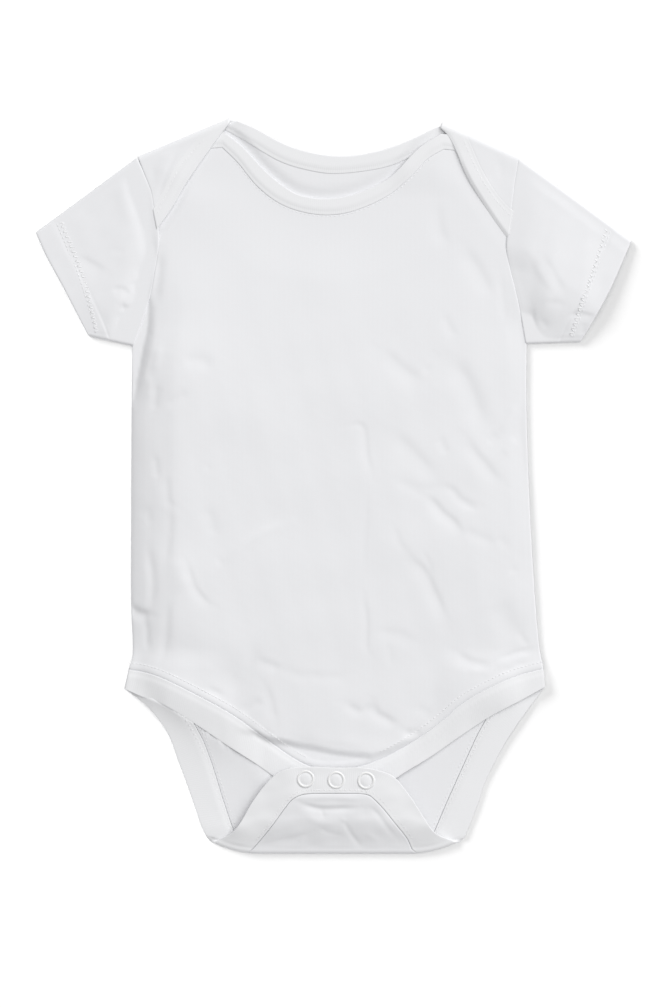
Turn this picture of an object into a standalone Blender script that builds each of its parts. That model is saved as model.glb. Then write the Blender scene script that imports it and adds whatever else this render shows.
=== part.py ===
"""A baby's short-sleeved bodysuit with an envelope neck, lying flat on its back.

Tables are in millimetres, seen from above: x to the right, y towards the neck, z up from
the surface it lies on. Left and right are as seen. The back is one pattern piece. Its
shoulders fold forward over the front as laps, and its crotch end folds up over the front
as the snap flap, so the back's points are given in the flat pattern and then folded.
"""

import math

import bmesh
import bpy
import numpy as np

MM = 0.001
CLOTH = 1.0  # wall of the jersey
BAND = 1.8  # wall of a binding, which is the rib folded round the edge
SEAM = 0.3  # air between two pieces that are sewn together
FRONT_FLOOR = CLOTH + SEAM  # height of the front's underside where it lies on the back

SHOULDER_RADIUS = 3.0
BOTTOM_RADIUS = 2.7
BOTTOM_LINE_Y = -196.4  # outermost line of the fold under the crotch
BOTTOM_STRAIGHT = 40.0  # the fold is straight this far each side of the middle
BOTTOM_CORNER_RUN = 24.0
BOTTOM_CORNER_RISE = 5.4
BOTTOM_CORNER_MOST = 6.0

MOST_LOFT = 3.5  # the furthest that the front stands clear of the back
LOFT_AT_LAPS = 1.6  # and the furthest that it may where a lap lies over it
NECK_RUN = 16.0  # it comes down to its neck seam over this distance
SIDES_BLEND = 0.35
LEG_LIFT_LEFT = 0.4  # the leg bindings' edges stand up a little more
LEG_LIFT_RIGHT = 1.3
BAND_STEP = BAND - CLOTH + 0.1  # the front rises where its bindings cross the back's
TAB_STEP = 0.9  # room for the studs' bases under the crotch tab
FLAP_STEP = 1.9  # the flap lies over the tab and its studs
FLAP_SAG = 0.7

SLEEVE_EDGE = 2.9  # height over a sleeve's folded edges
SLEEVE_LOFT = 0.9

ARC_STEPS = 8  # faces round each fold
SHOULDER_STEPS = 6  # faces along a shoulder; these four rows of steps meet at the panels' edges
NECK_STEPS = 18
LEG_STEPS = 10
BOTTOM_STEPS = 10
ARMHOLE_STEPS = 9
SIDE_STEPS = 15
LAP_STEPS = 6
FLAP_TOP_STEPS = 5
BAND_EDGE_STEPS = 4  # faces round a binding's free edge
SNAP_SIDES = 20

# Fold lines of the shoulders, from the sleeve seam to the neck.
SHOULDER_LEFT = {"sleeve": (-106.2, 176.4), "neck": (-60.2, 195.7)}
SHOULDER_RIGHT = {"sleeve": (99.2, 176.4), "neck": (59.4, 194.5)}

# Sleeve seams, from where the shoulder starts to turn down to the armpit.
ARMHOLE_LEFT = [
    (-104.5, 174.3), (-98.4, 158.3), (-96.6, 148.1), (-94.6, 138.0), (-94.8, 126.0),
    (-98.0, 107.0), (-101.6, 94.0), (-108.3, 75.3),
]
ARMHOLE_RIGHT = [
    (98.4, 173.9), (96.4, 161.0), (95.0, 149.0), (93.6, 138.0), (92.4, 128.0),
    (94.2, 117.0), (97.0, 106.0), (100.2, 92.0), (103.0, 76.4),
]
# Side seams, from the armpit to the leg binding.
SIDE_LEFT = [
    (-108.3, 75.3), (-108.7, 41.0), (-108.9, -12.0), (-108.9, -60.0), (-108.0, -88.0), (-110.2, -98.0),
]
SIDE_RIGHT = [(103.0, 76.4), (102.8, 50.0), (103.8, 8.0), (106.2, -42.0), (109.2, -82.0), (111.8, -97.4)]

# The back's neckline binding on the lower layer, from the left shoulder's fold to the right's.
BACK_NECK_SEAM = [
    (-60.2, 192.9), (-49.0, 186.6), (-29.2, 174.9), (-11.5, 169.6), (3.5, 168.4),
    (26.5, 171.6), (43.0, 178.5), (62.5, 190.2),
]
BACK_NECK_EDGE = [
    (-52.5, 196.1), (-42.2, 191.9), (-29.2, 184.8), (-16.9, 180.2), (0.0, 177.2),
    (16.0, 178.3), (35.0, 183.4), (54.8, 193.8),
]
# Both laps' bindings on the upper layer, from the shoulder's fold to the sleeve seam.
LAP_LEFT_SEAM = [(-70.5, 188.7), (-83.2, 174.0), (-90.0, 162.0), (-95.4, 149.4)]
LAP_LEFT_EDGE = [(-56.5, 194.4), (-66.5, 180.8), (-79.0, 162.8), (-86.0, 150.6), (-92.4, 140.0)]
LAP_RIGHT_SEAM = [(70.8, 186.6), (79.0, 168.6), (87.0, 156.0), (93.2, 147.0)]
LAP_RIGHT_EDGE = [(59.0, 192.0), (64.5, 180.0), (71.6, 164.1), (84.0, 144.6), (90.4, 134.8)]

# The front's top edge: along both shoulders under the laps, and round the neckline.
FRONT_SHOULDER_LEFT = {
    "seam": [(-101.0, 166.0), (-84.0, 173.0), (-68.5, 180.6), (-60.0, 182.0)],
    "edge": [(-104.0, 173.6), (-84.0, 182.0), (-66.0, 189.4), (-59.6, 190.0)],
}
FRONT_NECK = {
    "seam": [
        (-60.0, 182.0), (-51.6, 173.8), (-41.5, 161.5), (-30.0, 152.4), (-17.0, 147.4),
        (-3.0, 145.8), (11.0, 148.2), (27.6, 155.6), (40.0, 165.6), (49.6, 175.6), (58.6, 181.0),
    ],
    "edge": [
        (-59.6, 190.0), (-50.0, 182.6), (-36.0, 168.0), (-25.1, 159.4), (-16.9, 155.6),
        (-5.0, 154.1), (7.8, 155.8), (20.0, 160.2), (31.0, 166.8), (45.2, 181.3), (57.0, 188.9),
    ],
}
FRONT_SHOULDER_RIGHT = {
    "seam": [(58.6, 181.0), (68.0, 179.4), (81.0, 172.4), (95.4, 164.4)],
    "edge": [(57.0, 188.9), (65.0, 187.6), (80.0, 181.2), (97.2, 172.6)],
}

# Leg bindings, from each hip. The front's runs on round the tab's end, under the flap.
FRONT_LEG = {
    "seam": [
        (-110.2, -98.0), (-100.5, -99.6), (-89.8, -103.4), (-72.0, -112.3), (-54.1, -122.4),
        (-37.7, -134.4), (-22.5, -145.0), (-11.0, -150.4), (0.5, -151.2), (12.0, -150.2),
        (27.5, -144.6), (45.0, -134.6), (57.5, -125.4), (69.5, -115.2), (86.0, -106.0),
        (98.0, -101.2), (111.8, -97.4),
    ],
    "edge": [
        (-112.4, -108.2), (-101.4, -113.0), (-92.3, -116.0), (-75.2, -126.4), (-58.6, -137.6),
        (-42.0, -148.3), (-30.0, -156.8), (-17.0, -165.2), (0.5, -166.6), (18.0, -165.2),
        (31.0, -157.2), (39.9, -151.5), (52.2, -144.0), (70.0, -131.6), (84.8, -122.1),
        (101.4, -113.4), (112.6, -107.1),
    ],
}
BACK_LEG_LEFT = {
    "seam": [
        (-110.2, -98.0), (-94.0, -108.6), (-80.0, -120.0), (-71.7, -132.8), (-66.0, -147.0),
        (-59.4, -168.0), (-54.8, -181.5), (-50.8, -192.6),
    ],
    "edge": [
        (-112.4, -108.2), (-100.3, -117.3), (-89.6, -131.2), (-83.2, -147.8), (-77.3, -163.8),
        (-71.7, -180.4), (-68.4, -187.6),
    ],
}
BACK_LEG_RIGHT = {
    "seam": [
        (111.8, -97.4), (98.0, -107.6), (86.0, -117.5), (77.6, -130.6), (69.0, -149.0),
        (59.6, -170.0), (54.3, -182.5), (49.6, -192.8),
    ],
    "edge": [
        (112.6, -107.1), (101.4, -122.0), (93.0, -134.4), (87.6, -144.0), (81.0, -157.0),
        (76.2, -171.0), (69.6, -187.7),
    ],
}
# The snap flap on the upper layer: the ends of its plain cloth at each height.
FLAP_ROWS = [
    {"y": -193.6, "left": -43.5, "right": 41.2},
    {"y": -187.9, "left": -38.6, "right": 38.6},
    {"y": -180.0, "left": -32.4, "right": 32.4},
    {"y": -172.5, "left": -27.0, "right": 26.4},
    {"y": -167.2, "left": -22.6, "right": 21.4},
    {"y": -164.6, "left": -17.6, "right": 17.8},
    {"y": -163.8, "left": -12.0, "right": 12.6},
]
# The flap's free edge, from the fold on the left, over its top, to the fold on the right.
FLAP_EDGE_LEFT = [
    (-62.2, -189.2), (-52.7, -182.8), (-43.4, -167.6), (-34.4, -156.2), (-27.6, -151.6),
    (-20.6, -149.8), (-11.0, -149.4),
]
FLAP_EDGE_TOP = [(-11.0, -149.4), (1.0, -150.0), (13.0, -149.7)]
FLAP_EDGE_RIGHT = [
    (13.0, -149.7), (22.6, -151.2), (31.8, -155.0), (40.6, -165.6), (47.3, -176.1),
    (53.8, -185.0), (62.5, -189.3),
]

# The cuffs, from the sleeve's folded top edge to its underarm.
CUFF_LEFT = [(-160.0, 136.3), (-154.3, 123.5), (-145.0, 106.4), (-131.6, 80.6)]
CUFF_RIGHT = [(159.0, 132.0), (152.6, 117.0), (145.0, 100.8), (131.6, 77.4)]

SNAPS = [(-15.4, -155.9), (0.9, -156.5), (16.9, -156.8)]
SNAP_HOLE = 2.3  # radius of the hole that a snap's shank passes through

# How far the front stands clear, by the distance in from its left and from its right edge.
# The left side is the fuller.
LEFT_RISE = {
    "in": [0, 4, 8, 12, 24, 38, 70, 110, 240],
    "rise": [0.0, 1.0, 2.0, 2.5, 3.0, 3.2, 2.8, 2.3, 2.3],
}
RIGHT_RISE = {
    "in": [0, 2, 5, 12, 30, 70, 110, 240],
    "rise": [0.0, 0.8, 1.3, 1.6, 1.9, 2.2, 2.5, 2.7],
}

# The fold across the front where its fullness drops to the crotch tab: its foot.
DROP_TO_TAB = {
    "x": [-58, -42, -35, 0, 20, 30, 42, 58],
    "y": [-128.0, -130.0, -133.0, -139.3, -142.4, -140.0, -134.0, -128.0],
}
DROP_RUN = 8.0

# Soft folds of the front: ends, reach to each side, and height (troughs are negative).
FRONT_FOLDS = [
    {"from": (33, 27), "to": (53, 2), "reach": 9, "height": -1.0},
    {"from": (64, 63), "to": (81, 33), "reach": 8, "height": -1.2},
    {"from": (29, 68), "to": (47, 54), "reach": 8, "height": -0.7},
    {"from": (71, 126), "to": (80, 104), "reach": 6, "height": -1.0},
    {"from": (52, 150), "to": (60, 129), "reach": 7, "height": -0.7},
    {"from": (48, -4), "to": (68, -23), "reach": 5, "height": 1.0},
    {"from": (-60, -42), "to": (-33, -23), "reach": 5, "height": 0.9},
    {"from": (-33, -23), "to": (0, -15), "reach": 5, "height": 0.8},
    {"from": (-81, -41), "to": (-65, -67), "reach": 6, "height": 0.8},
    {"from": (-92, 54), "to": (-94, -76), "reach": 6, "height": -0.9},
    {"from": (66, -93), "to": (105, -86), "reach": 5, "height": 0.8},
    {"from": (12, -120), "to": (20, -116), "reach": 4, "height": 1.0},
    {"from": (20, -116), "to": (45, -130), "reach": 4, "height": -1.0},
    {"from": (-35, -128), "to": (0, -134), "reach": 5, "height": 0.7},
    {"from": (0, -134), "to": (19, -137), "reach": 5, "height": 0.7},
    {"from": (-48, -120), "to": (-37, -114), "reach": 5, "height": -0.8},
]
SLEEVE_FOLDS = [
    {"from": (-110.5, 168), "to": (-101.5, 130), "reach": 4, "height": -1.0},
    {"from": (-136, 122), "to": (-122, 115), "reach": 4, "height": -0.7},
    {"from": (-113, 94), "to": (-112, 84), "reach": 3, "height": -0.9},
    {"from": (-127, 150), "to": (-140, 128), "reach": 8, "height": 0.6},
    {"from": (105, 120), "to": (116, 101), "reach": 4, "height": -0.8},
    {"from": (128, 92), "to": (138, 91), "reach": 3, "height": -0.8},
    {"from": (118, 150), "to": (130, 125), "reach": 8, "height": 0.6},
]

FINISHES = {
    "cotton_jersey": {"colour": (0.86, 0.86, 0.85, 1.0), "roughness": 0.9, "metallic": 0.0},
    "cotton_rib": {"colour": (0.88, 0.88, 0.87, 1.0), "roughness": 0.88, "metallic": 0.0},
    "snap_metal": {"colour": (0.78, 0.78, 0.78, 1.0), "roughness": 0.38, "metallic": 0.6},
}


def ease(x):
    """0 below 0, 1 above 1, and a smooth rise between."""
    x = min(1.0, max(0.0, x))
    return x * x * (3 - 2 * x)


def sampled(points, steps):
    """steps + 1 points evenly along a smooth line through the given ones."""
    p = np.array(points, float)
    before, after = 2 * p[0] - p[1], 2 * p[-1] - p[-2]
    q = np.vstack([before, p, after])
    t = np.linspace(0, 1, 24, endpoint=False)[:, None]
    line = []
    for a, b, c, d in zip(q, q[1:], q[2:], q[3:]):
        line.append(
            0.5 * (2 * b + (c - a) * t + (2 * a - 5 * b + 4 * c - d) * t**2
                   + (3 * b - a - 3 * c + d) * t**3)
        )
    line = np.vstack(line + [p[-1:]])
    along = np.concatenate([[0], np.cumsum(np.linalg.norm(np.diff(line, axis=0), axis=1))])
    at = np.linspace(0, along[-1], steps + 1)
    return np.stack([np.interp(at, along, line[:, k]) for k in range(2)], axis=1)


def joined(*lines):
    """The lines end to end, each shared end once."""
    return np.vstack([lines[0]] + [line[1:] for line in lines[1:]])


def straight(a, b, steps):
    t = np.linspace(0, 1, steps + 1)[:, None]
    return (1 - t) * np.array(a) + t * np.array(b)


def coons(top, bottom, left, right):
    """Rows of points that fill the space inside four edges."""
    u = np.linspace(0, 1, len(top))[None, :, None]
    v = np.linspace(0, 1, len(left))[:, None, None]
    across = (1 - v) * top[None] + v * bottom[None]
    down = (1 - u) * left[:, None] + u * right[:, None]
    corners = (1 - v) * ((1 - u) * top[0] + u * top[-1]) + v * ((1 - u) * bottom[0] + u * bottom[-1])
    return across + down - corners


def moved_over(line, toward, distance):
    """The line moved sideways by a distance, to the side where toward lies."""
    run = np.diff(line, axis=0)
    run /= np.linalg.norm(run, axis=1)[:, None]
    sides = np.stack([-run[:, 1], run[:, 0]], axis=1)
    sides *= np.sign((sides * (toward - line)[:-1]).sum(1))[:, None]
    before, after = np.vstack([sides[:1], sides]), np.vstack([sides, sides[-1:]])
    mitre = before + after
    mitre /= (mitre * before).sum(1)[:, None]
    return line + mitre * distance


def from_line(p, line):
    """Distance from p to the nearest point of a line of points."""
    a, b = line[:-1], line[1:]
    d = b - a
    t = np.clip(((p - a) * d).sum(1) / np.maximum((d * d).sum(1), 1e-9), 0, 1)
    return float(np.linalg.norm(p - a - t[:, None] * d, axis=1).min())


def encloses(outline, p):
    """Whether a closed line of points goes round p."""
    a, b = outline, np.roll(outline, -1, axis=0)
    crossed = (a[:, 1] > p[1]) != (b[:, 1] > p[1])
    rise = np.where(crossed, b[:, 1] - a[:, 1], 1.0)
    at = a[:, 0] + (p[1] - a[:, 1]) * (b[:, 0] - a[:, 0]) / rise
    return bool((crossed & (at > p[0])).sum() % 2)


def folds_at(x, y, folds):
    """How far a table of soft folds raises or lowers the cloth at a place."""
    total = 0.0
    for fold in folds:
        near = from_line(np.array((x, y)), np.array([fold["from"], fold["to"]], float))
        total += fold["height"] * math.exp(-((near / fold["reach"]) ** 2))
    return total


class Fold:
    """Turns the back piece over along a line. out points across it, away from the garment."""

    def __init__(self, start, end, radius, sag=lambda along: 0.0, lift=lambda x, y: 0.0):
        self.start = np.array(start, float)
        run = np.array(end, float) - self.start
        self.length = np.linalg.norm(run)
        self.along = run / self.length
        self.out = np.array((-self.along[1], self.along[0]))
        if self.out @ self.start < 0:
            self.out = -self.out
        self.radius, self.sag, self.lift = radius, sag, lift
        self.arc = math.pi * radius

    def beyond(self, p):
        """How far the flat piece reaches, at p, past where it starts to turn."""
        away = np.array(p) - self.start
        return away @ self.out + self.sag(away @ self.along) + self.radius

    def reach(self, p):
        """How far along the fold a point lies."""
        return (np.array(p) - self.start) @ self.along

    def at(self, along, turned=0.0):
        """The flat point that far along the fold and that far round it."""
        return self.start + self.along * along + self.out * (turned - self.radius - self.sag(along))

    def flat(self, p):
        """The flat place of a point seen on the upper layer."""
        back = -self.beyond(p)
        return np.array(p) + self.out * (self.arc + 2 * back)

    def place(self, p, depth):
        turned = self.beyond(p)
        foot = np.array(p) - self.out * turned
        if turned < self.arc:
            angle = turned / self.radius
            plan = foot + self.out * (self.radius - depth) * math.sin(angle)
            return (*plan, self.radius - (self.radius - depth) * math.cos(angle))
        plan = foot - self.out * (turned - self.arc)
        return (*plan, 2 * self.radius - depth + self.lift(*plan))


def bottom_sag(x):
    """The fold under the crotch bends up at its two corners."""
    past = max(0.0, abs(x) - BOTTOM_STRAIGHT) / BOTTOM_CORNER_RUN
    return min(BOTTOM_CORNER_MOST, BOTTOM_CORNER_RISE * past**2)


def flap_lift(x, y):
    """The flap sags behind the roll of its fold, then climbs onto the tab and its studs."""
    onto_tab = FLAP_STEP * ease((y + 178) / 15) * (1 - 0.5 * ease((abs(x) - 22) / 20))
    sag = FLAP_SAG * ease((y + 193) / 8) * ease((-166 - y) / 12)
    return onto_tab - sag


def lap_left_lift(x, y):
    return 0.5 * math.exp(-(((x + 82) / 12) ** 2 + ((y - 156) / 14) ** 2))


def lap_right_lift(x, y):
    """The right lap's edge stands up from the front."""
    return 1.6 * math.exp(-(((x - 74) / 14) ** 2 + ((y - 158) / 16) ** 2))


FOLD_LEFT = Fold(SHOULDER_LEFT["sleeve"], SHOULDER_LEFT["neck"], SHOULDER_RADIUS, lift=lap_left_lift)
FOLD_RIGHT = Fold(SHOULDER_RIGHT["sleeve"], SHOULDER_RIGHT["neck"], SHOULDER_RADIUS, lift=lap_right_lift)
FOLD_BOTTOM = Fold((0, BOTTOM_LINE_Y), (1, BOTTOM_LINE_Y), BOTTOM_RADIUS, sag=bottom_sag, lift=flap_lift)


def place_back(p, depth):
    """A flat point of the back, at a depth from the cloth's outer face, on the folded garment."""
    for fold in (FOLD_LEFT, FOLD_RIGHT, FOLD_BOTTOM):
        if fold.beyond(p) > 0:
            return fold.place(p, depth)
    return (p[0], p[1], depth)


def side_edge(armhole, side, inward):
    """A panel's edge from its shoulder down to its leg binding, with the seam's air at the armpit."""
    edge = joined(sampled(armhole, ARMHOLE_STEPS), sampled(side, SIDE_STEPS))
    edge[ARMHOLE_STEPS:, 0] += np.linspace(inward, 0, SIDE_STEPS + 1)
    return edge


def front_outline():
    """The front's plain cloth, inside all its seams."""
    top = joined(
        sampled(FRONT_SHOULDER_LEFT["seam"], SHOULDER_STEPS),
        sampled(FRONT_NECK["seam"], NECK_STEPS),
        sampled(FRONT_SHOULDER_RIGHT["seam"], SHOULDER_STEPS),
    )
    bottom = sampled(FRONT_LEG["seam"], len(top) - 1)
    sides = []
    for corner, armhole, side, inward in (
        (top[0], ARMHOLE_LEFT, SIDE_LEFT, SEAM / 2),
        (top[-1], ARMHOLE_RIGHT, SIDE_RIGHT, -SEAM / 2),
    ):
        armhole = [corner] + [(x + inward, y) for x, y in armhole if y < corner[1] - 5]
        sides.append(side_edge(armhole, side, inward))
    return top, bottom, *sides


FRONT_EDGES = front_outline()
FRONT_RING = np.vstack([FRONT_EDGES[0], FRONT_EDGES[3], FRONT_EDGES[1][::-1], FRONT_EDGES[2][::-1]])
LEFT_LINE = np.vstack([FRONT_EDGES[2], FRONT_LEG["edge"][0]])
RIGHT_LINE = np.vstack([FRONT_EDGES[3], FRONT_LEG["edge"][-1]])
NECK_LINE = sampled(FRONT_NECK["seam"], NECK_STEPS)
LEG_LINE = sampled(FRONT_LEG["edge"], 30)


def loft(x, y):
    """How far the front stands clear: it comes down at its sides, its neck and the crotch tab."""
    p = np.array((x, y))
    left = np.interp(from_line(p, LEFT_LINE), LEFT_RISE["in"], LEFT_RISE["rise"])
    right = np.interp(from_line(p, RIGHT_LINE), RIGHT_RISE["in"], RIGHT_RISE["rise"])
    sides = -SIDES_BLEND * math.log(math.exp(-left / SIDES_BLEND) + math.exp(-right / SIDES_BLEND))
    at_leg = (1 - ease(from_line(p, LEG_LINE) / 34)) * ease((abs(x) - 44) / 16) * ease((106 - abs(x)) / 18)
    full = sides + at_leg * (LEG_LIFT_LEFT if x < 0 else LEG_LIFT_RIGHT) + folds_at(x, y, FRONT_FOLDS)
    full = min(MOST_LOFT, max(0.0, full))
    inside = y < 129 or encloses(FRONT_RING, p)
    neck = ease(from_line(p, NECK_LINE) / NECK_RUN) if inside else 0.0
    under_laps = min(full, LOFT_AT_LAPS) * ease((166 - y) / 14)
    below_laps = max(0.0, full - LOFT_AT_LAPS) * ease((130 - y) / 26)
    past_drop = np.interp(x, DROP_TO_TAB["x"], DROP_TO_TAB["y"]) + DROP_RUN - 1 - y
    tab = 1 - ease(past_drop / DROP_RUN) * ease((58 - abs(x)) / 18)
    return (under_laps + below_laps) * neck * tab


def front_floor(x, y):
    """Height of the front's underside: it lies on its seams and stands clear between them."""
    hip = BAND_STEP * ease((abs(x) - 52) / 18) * ease((-86 - y) / 12)
    neck = BAND_STEP * ease((x - 30) / 8) * ease((y - 168) / 8) * ease((76 - x) / 10)
    tab = TAB_STEP * ease((-132 - y) / 18) * ease((52 - abs(x)) / 20)
    return FRONT_FLOOR + hip + neck + tab + loft(x, y)


def place_front(p, depth):
    return (p[0], p[1], front_floor(*p) + depth)


def material(name):
    made = bpy.data.materials.new(name)
    made.use_nodes = True
    shader = made.node_tree.nodes["Principled BSDF"]
    shader.inputs["Base Color"].default_value = FINISHES[name]["colour"]
    shader.inputs["Roughness"].default_value = FINISHES[name]["roughness"]
    shader.inputs["Metallic"].default_value = FINISHES[name]["metallic"]
    made.diffuse_color = FINISHES[name]["colour"]
    return made


def finish(name, mesh, finish_name):
    """Makes one closed body from a bmesh in millimetres, as an object in metres."""
    bmesh.ops.remove_doubles(mesh, verts=mesh.verts, dist=0.002)
    bmesh.ops.dissolve_degenerate(mesh, edges=mesh.edges, dist=0.001)
    bmesh.ops.scale(mesh, vec=(MM, MM, MM), verts=mesh.verts)
    bmesh.ops.recalc_face_normals(mesh, faces=mesh.faces)
    data = bpy.data.meshes.new(name)
    mesh.to_mesh(data)
    mesh.free()
    made = bpy.data.objects.new(name, data)
    data.materials.append(bpy.data.materials.get(finish_name) or material(finish_name))
    bpy.context.scene.collection.objects.link(made)
    return made


def cloth(name, place, grids):
    """A panel: the grids share edges where their points meet, and its wall is CLOTH thick."""
    index, points, quads = {}, [], []
    for grid in grids:
        numbers = []
        for row in grid:
            numbers.append([])
            for p in row:
                key = tuple(np.round(p, 3))
                if key not in index:
                    index[key] = len(points)
                    points.append(p)
                numbers[-1].append(index[key])
        for above, below in zip(numbers, numbers[1:]):
            for k in range(len(above) - 1):
                corners = [above[k], above[k + 1], below[k + 1], below[k]]
                quads.append(list(dict.fromkeys(corners)))
    quads = [q for q in quads if len(q) > 2]
    mesh = bmesh.new()
    outer = [mesh.verts.new(place(p, 0.0)) for p in points]
    inner = [mesh.verts.new(place(p, CLOTH)) for p in points]
    ways = set()
    for quad in quads:
        mesh.faces.new([outer[i] for i in quad])
        mesh.faces.new([inner[i] for i in reversed(quad)])
        ways.update(zip(quad, quad[1:] + quad[:1]))
    for a, b in ways:
        if (b, a) not in ways:
            mesh.faces.new([outer[b], outer[a], inner[a], inner[b]])
    finish(name, mesh, "cotton_jersey")


def band_section(width):
    """A binding cut across: (distance from its free edge, depth), its free edge rounded."""
    r = BAND / 2
    turn = [math.pi * (0.5 + k / BAND_EDGE_STEPS) for k in range(BAND_EDGE_STEPS + 1)]
    rounded = [(r + r * math.cos(a), r - r * math.sin(a)) for a in turn]
    return rounded + [(width, BAND), (width, 0.0)]


def band(name, seam, edge, place):
    """A binding from its seam to its free edge, station by station."""
    mesh = bmesh.new()
    rings = []
    for inner, outer in zip(moved_over(seam, edge, SEAM), edge):
        width = np.linalg.norm(inner - outer)
        across = (inner - outer) / width
        ring = []
        for away, depth in band_section(width):
            ring.append(mesh.verts.new(place(outer + across * away, depth)))
        rings.append(ring)
    bridge(mesh, rings)
    mesh.faces.new(rings[0])
    mesh.faces.new(list(reversed(rings[-1])))
    return finish(name, mesh, "cotton_rib")


def bridge(mesh, rings, inside_out=False):
    for a, b in zip(rings, rings[1:]):
        for k in range(len(a)):
            face = [a[k - 1], b[k - 1], b[k], a[k]]
            mesh.faces.new(reversed(face) if inside_out else face)


def shoulder_rows(fold, ends, seam, armhole, steps):
    """A lap's plain cloth in the flat: rows that run from the sleeve seam to its binding's seam.

    ends says where the two seams cross the start of the fold, along it.
    """
    seam = np.array([fold.flat(p) for p in sampled(seam, 30)])
    armhole = np.array([fold.flat(p) for p in armhole])
    turned = [np.array([fold.beyond(p) for p in line]) for line in (armhole, seam)]
    along = [fold.reach(line) for line in (armhole, seam)]
    round_it = np.linspace(0, fold.arc, ARC_STEPS + 1)[1:]
    past_it = np.linspace(fold.arc, turned[1][-1], LAP_STEPS + 1)[1:]
    rows = []
    for t in (*round_it, *past_it):
        across = [np.interp(t, [0, *turned[k]], [ends[k], *along[k]]) for k in range(2)]
        rows.append([fold.at(a, t) for a in np.linspace(*across, steps + 1)])
    return np.array(rows)


def crotch_rows(left, right, steps):
    """The back's plain cloth round the bottom fold and up the flap, in the flat."""
    first = FLAP_ROWS[0]
    rows = []
    for k in range(1, ARC_STEPS + 1):
        part = k / ARC_STEPS
        ends = (1 - part) * left[0] + part * first["left"], (1 - part) * right[0] + part * first["right"]
        rows.append([FOLD_BOTTOM.at(x, FOLD_BOTTOM.arc * part) for x in np.linspace(*ends, steps + 1)])
    for row in FLAP_ROWS[1:]:
        ends = row["left"], row["right"]
        rows.append([FOLD_BOTTOM.flat((x, row["y"])) for x in np.linspace(*ends, steps + 1)])
    return np.array(rows)


def back_panel():
    armhole_left = np.array([(x + SEAM / 2, y) for x, y in ARMHOLE_LEFT])
    armhole_right = np.array([(x - SEAM / 2, y) for x, y in ARMHOLE_RIGHT])
    ends_left = [FOLD_LEFT.reach(p) for p in (ARMHOLE_LEFT[0], BACK_NECK_SEAM[0])]
    ends_right = [FOLD_RIGHT.reach(p) for p in (ARMHOLE_RIGHT[0], BACK_NECK_SEAM[-1])]
    left_start, right_start = FOLD_LEFT.at(ends_left[0]), FOLD_RIGHT.at(ends_right[0])
    neck = sampled(BACK_NECK_SEAM, NECK_STEPS)
    neck[0], neck[-1] = FOLD_LEFT.at(ends_left[1]), FOLD_RIGHT.at(ends_right[1])
    top = joined(
        straight(left_start, neck[0], SHOULDER_STEPS),
        neck,
        straight(neck[-1], right_start, SHOULDER_STEPS),
    )
    leg_left = sampled(BACK_LEG_LEFT["seam"], LEG_STEPS)
    leg_right = sampled(BACK_LEG_RIGHT["seam"], LEG_STEPS)[::-1]
    leg_left[-1], leg_right[0] = FOLD_BOTTOM.at(leg_left[-1][0]), FOLD_BOTTOM.at(leg_right[0][0])
    turn = np.linspace(leg_left[-1][0], leg_right[0][0], BOTTOM_STEPS + 1)
    turn = np.array([FOLD_BOTTOM.at(x) for x in turn])
    bottom = joined(leg_left, turn, leg_right)
    armhole_left[0], armhole_right[0] = left_start, right_start
    left = side_edge(armhole_left, SIDE_LEFT, SEAM / 2)
    right = side_edge(armhole_right, SIDE_RIGHT, -SEAM / 2)
    body = coons(top, bottom, left, right)
    shoulder = slice(0, SHOULDER_STEPS + 1)
    lap_left = shoulder_rows(FOLD_LEFT, ends_left, LAP_LEFT_SEAM, armhole_left[:3], SHOULDER_STEPS)
    lap_right = shoulder_rows(FOLD_RIGHT, ends_right, LAP_RIGHT_SEAM, armhole_right[:3], SHOULDER_STEPS)
    crotch = crotch_rows(leg_left[-1], leg_right[0], BOTTOM_STEPS)
    cloth("back_panel", place_back, [
        body,
        np.concatenate([body[:1, shoulder], lap_left])[::-1],
        np.concatenate([body[:1, ::-1][:, shoulder], lap_right]),
        np.concatenate([body[-1:, LEG_STEPS : LEG_STEPS + BOTTOM_STEPS + 1], crotch]),
    ])


def front_panel():
    cloth("front_panel", place_front, [coons(*FRONT_EDGES)])


def round_fold(fold, start, end):
    """Stations round a fold, from one end of a line across it to the other, in the flat."""
    rows = []
    for k in range(1, ARC_STEPS):
        part = k / ARC_STEPS
        along = (1 - part) * fold.reach(start) + part * fold.reach(end)
        rows.append(fold.at(along, fold.arc * part))
    return np.array(rows)


def neck_binding_back():
    lines = []
    for lap_left, neck, lap_right in (
        (LAP_LEFT_SEAM, BACK_NECK_SEAM, LAP_RIGHT_SEAM),
        (LAP_LEFT_EDGE, BACK_NECK_EDGE, LAP_RIGHT_EDGE),
    ):
        left = np.array([FOLD_LEFT.flat(p) for p in sampled(lap_left, 12)])
        right = np.array([FOLD_RIGHT.flat(p) for p in sampled(lap_right, 12)])
        middle = sampled(neck, NECK_STEPS)
        for k, fold in ((0, FOLD_LEFT), (-1, FOLD_RIGHT)):
            middle[k] = fold.at(fold.reach(middle[k]))
        for lap, fold in ((left, FOLD_LEFT), (right, FOLD_RIGHT)):
            lap[0] = fold.at(fold.reach(lap[0]), fold.arc)
        lines.append(np.vstack([
            left[::-1],
            round_fold(FOLD_LEFT, middle[0], left[0])[::-1],
            middle,
            round_fold(FOLD_RIGHT, middle[-1], right[0]),
            right,
        ]))
    band("neck_binding_back", *lines, place_back)


def neck_binding_front():
    lines = []
    for side in ("seam", "edge"):
        lines.append(joined(
            sampled(FRONT_SHOULDER_LEFT[side], SHOULDER_STEPS),
            sampled(FRONT_NECK[side], NECK_STEPS),
            sampled(FRONT_SHOULDER_RIGHT[side], SHOULDER_STEPS),
        ))
    band("neck_binding_front", *lines, place_front)


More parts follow.
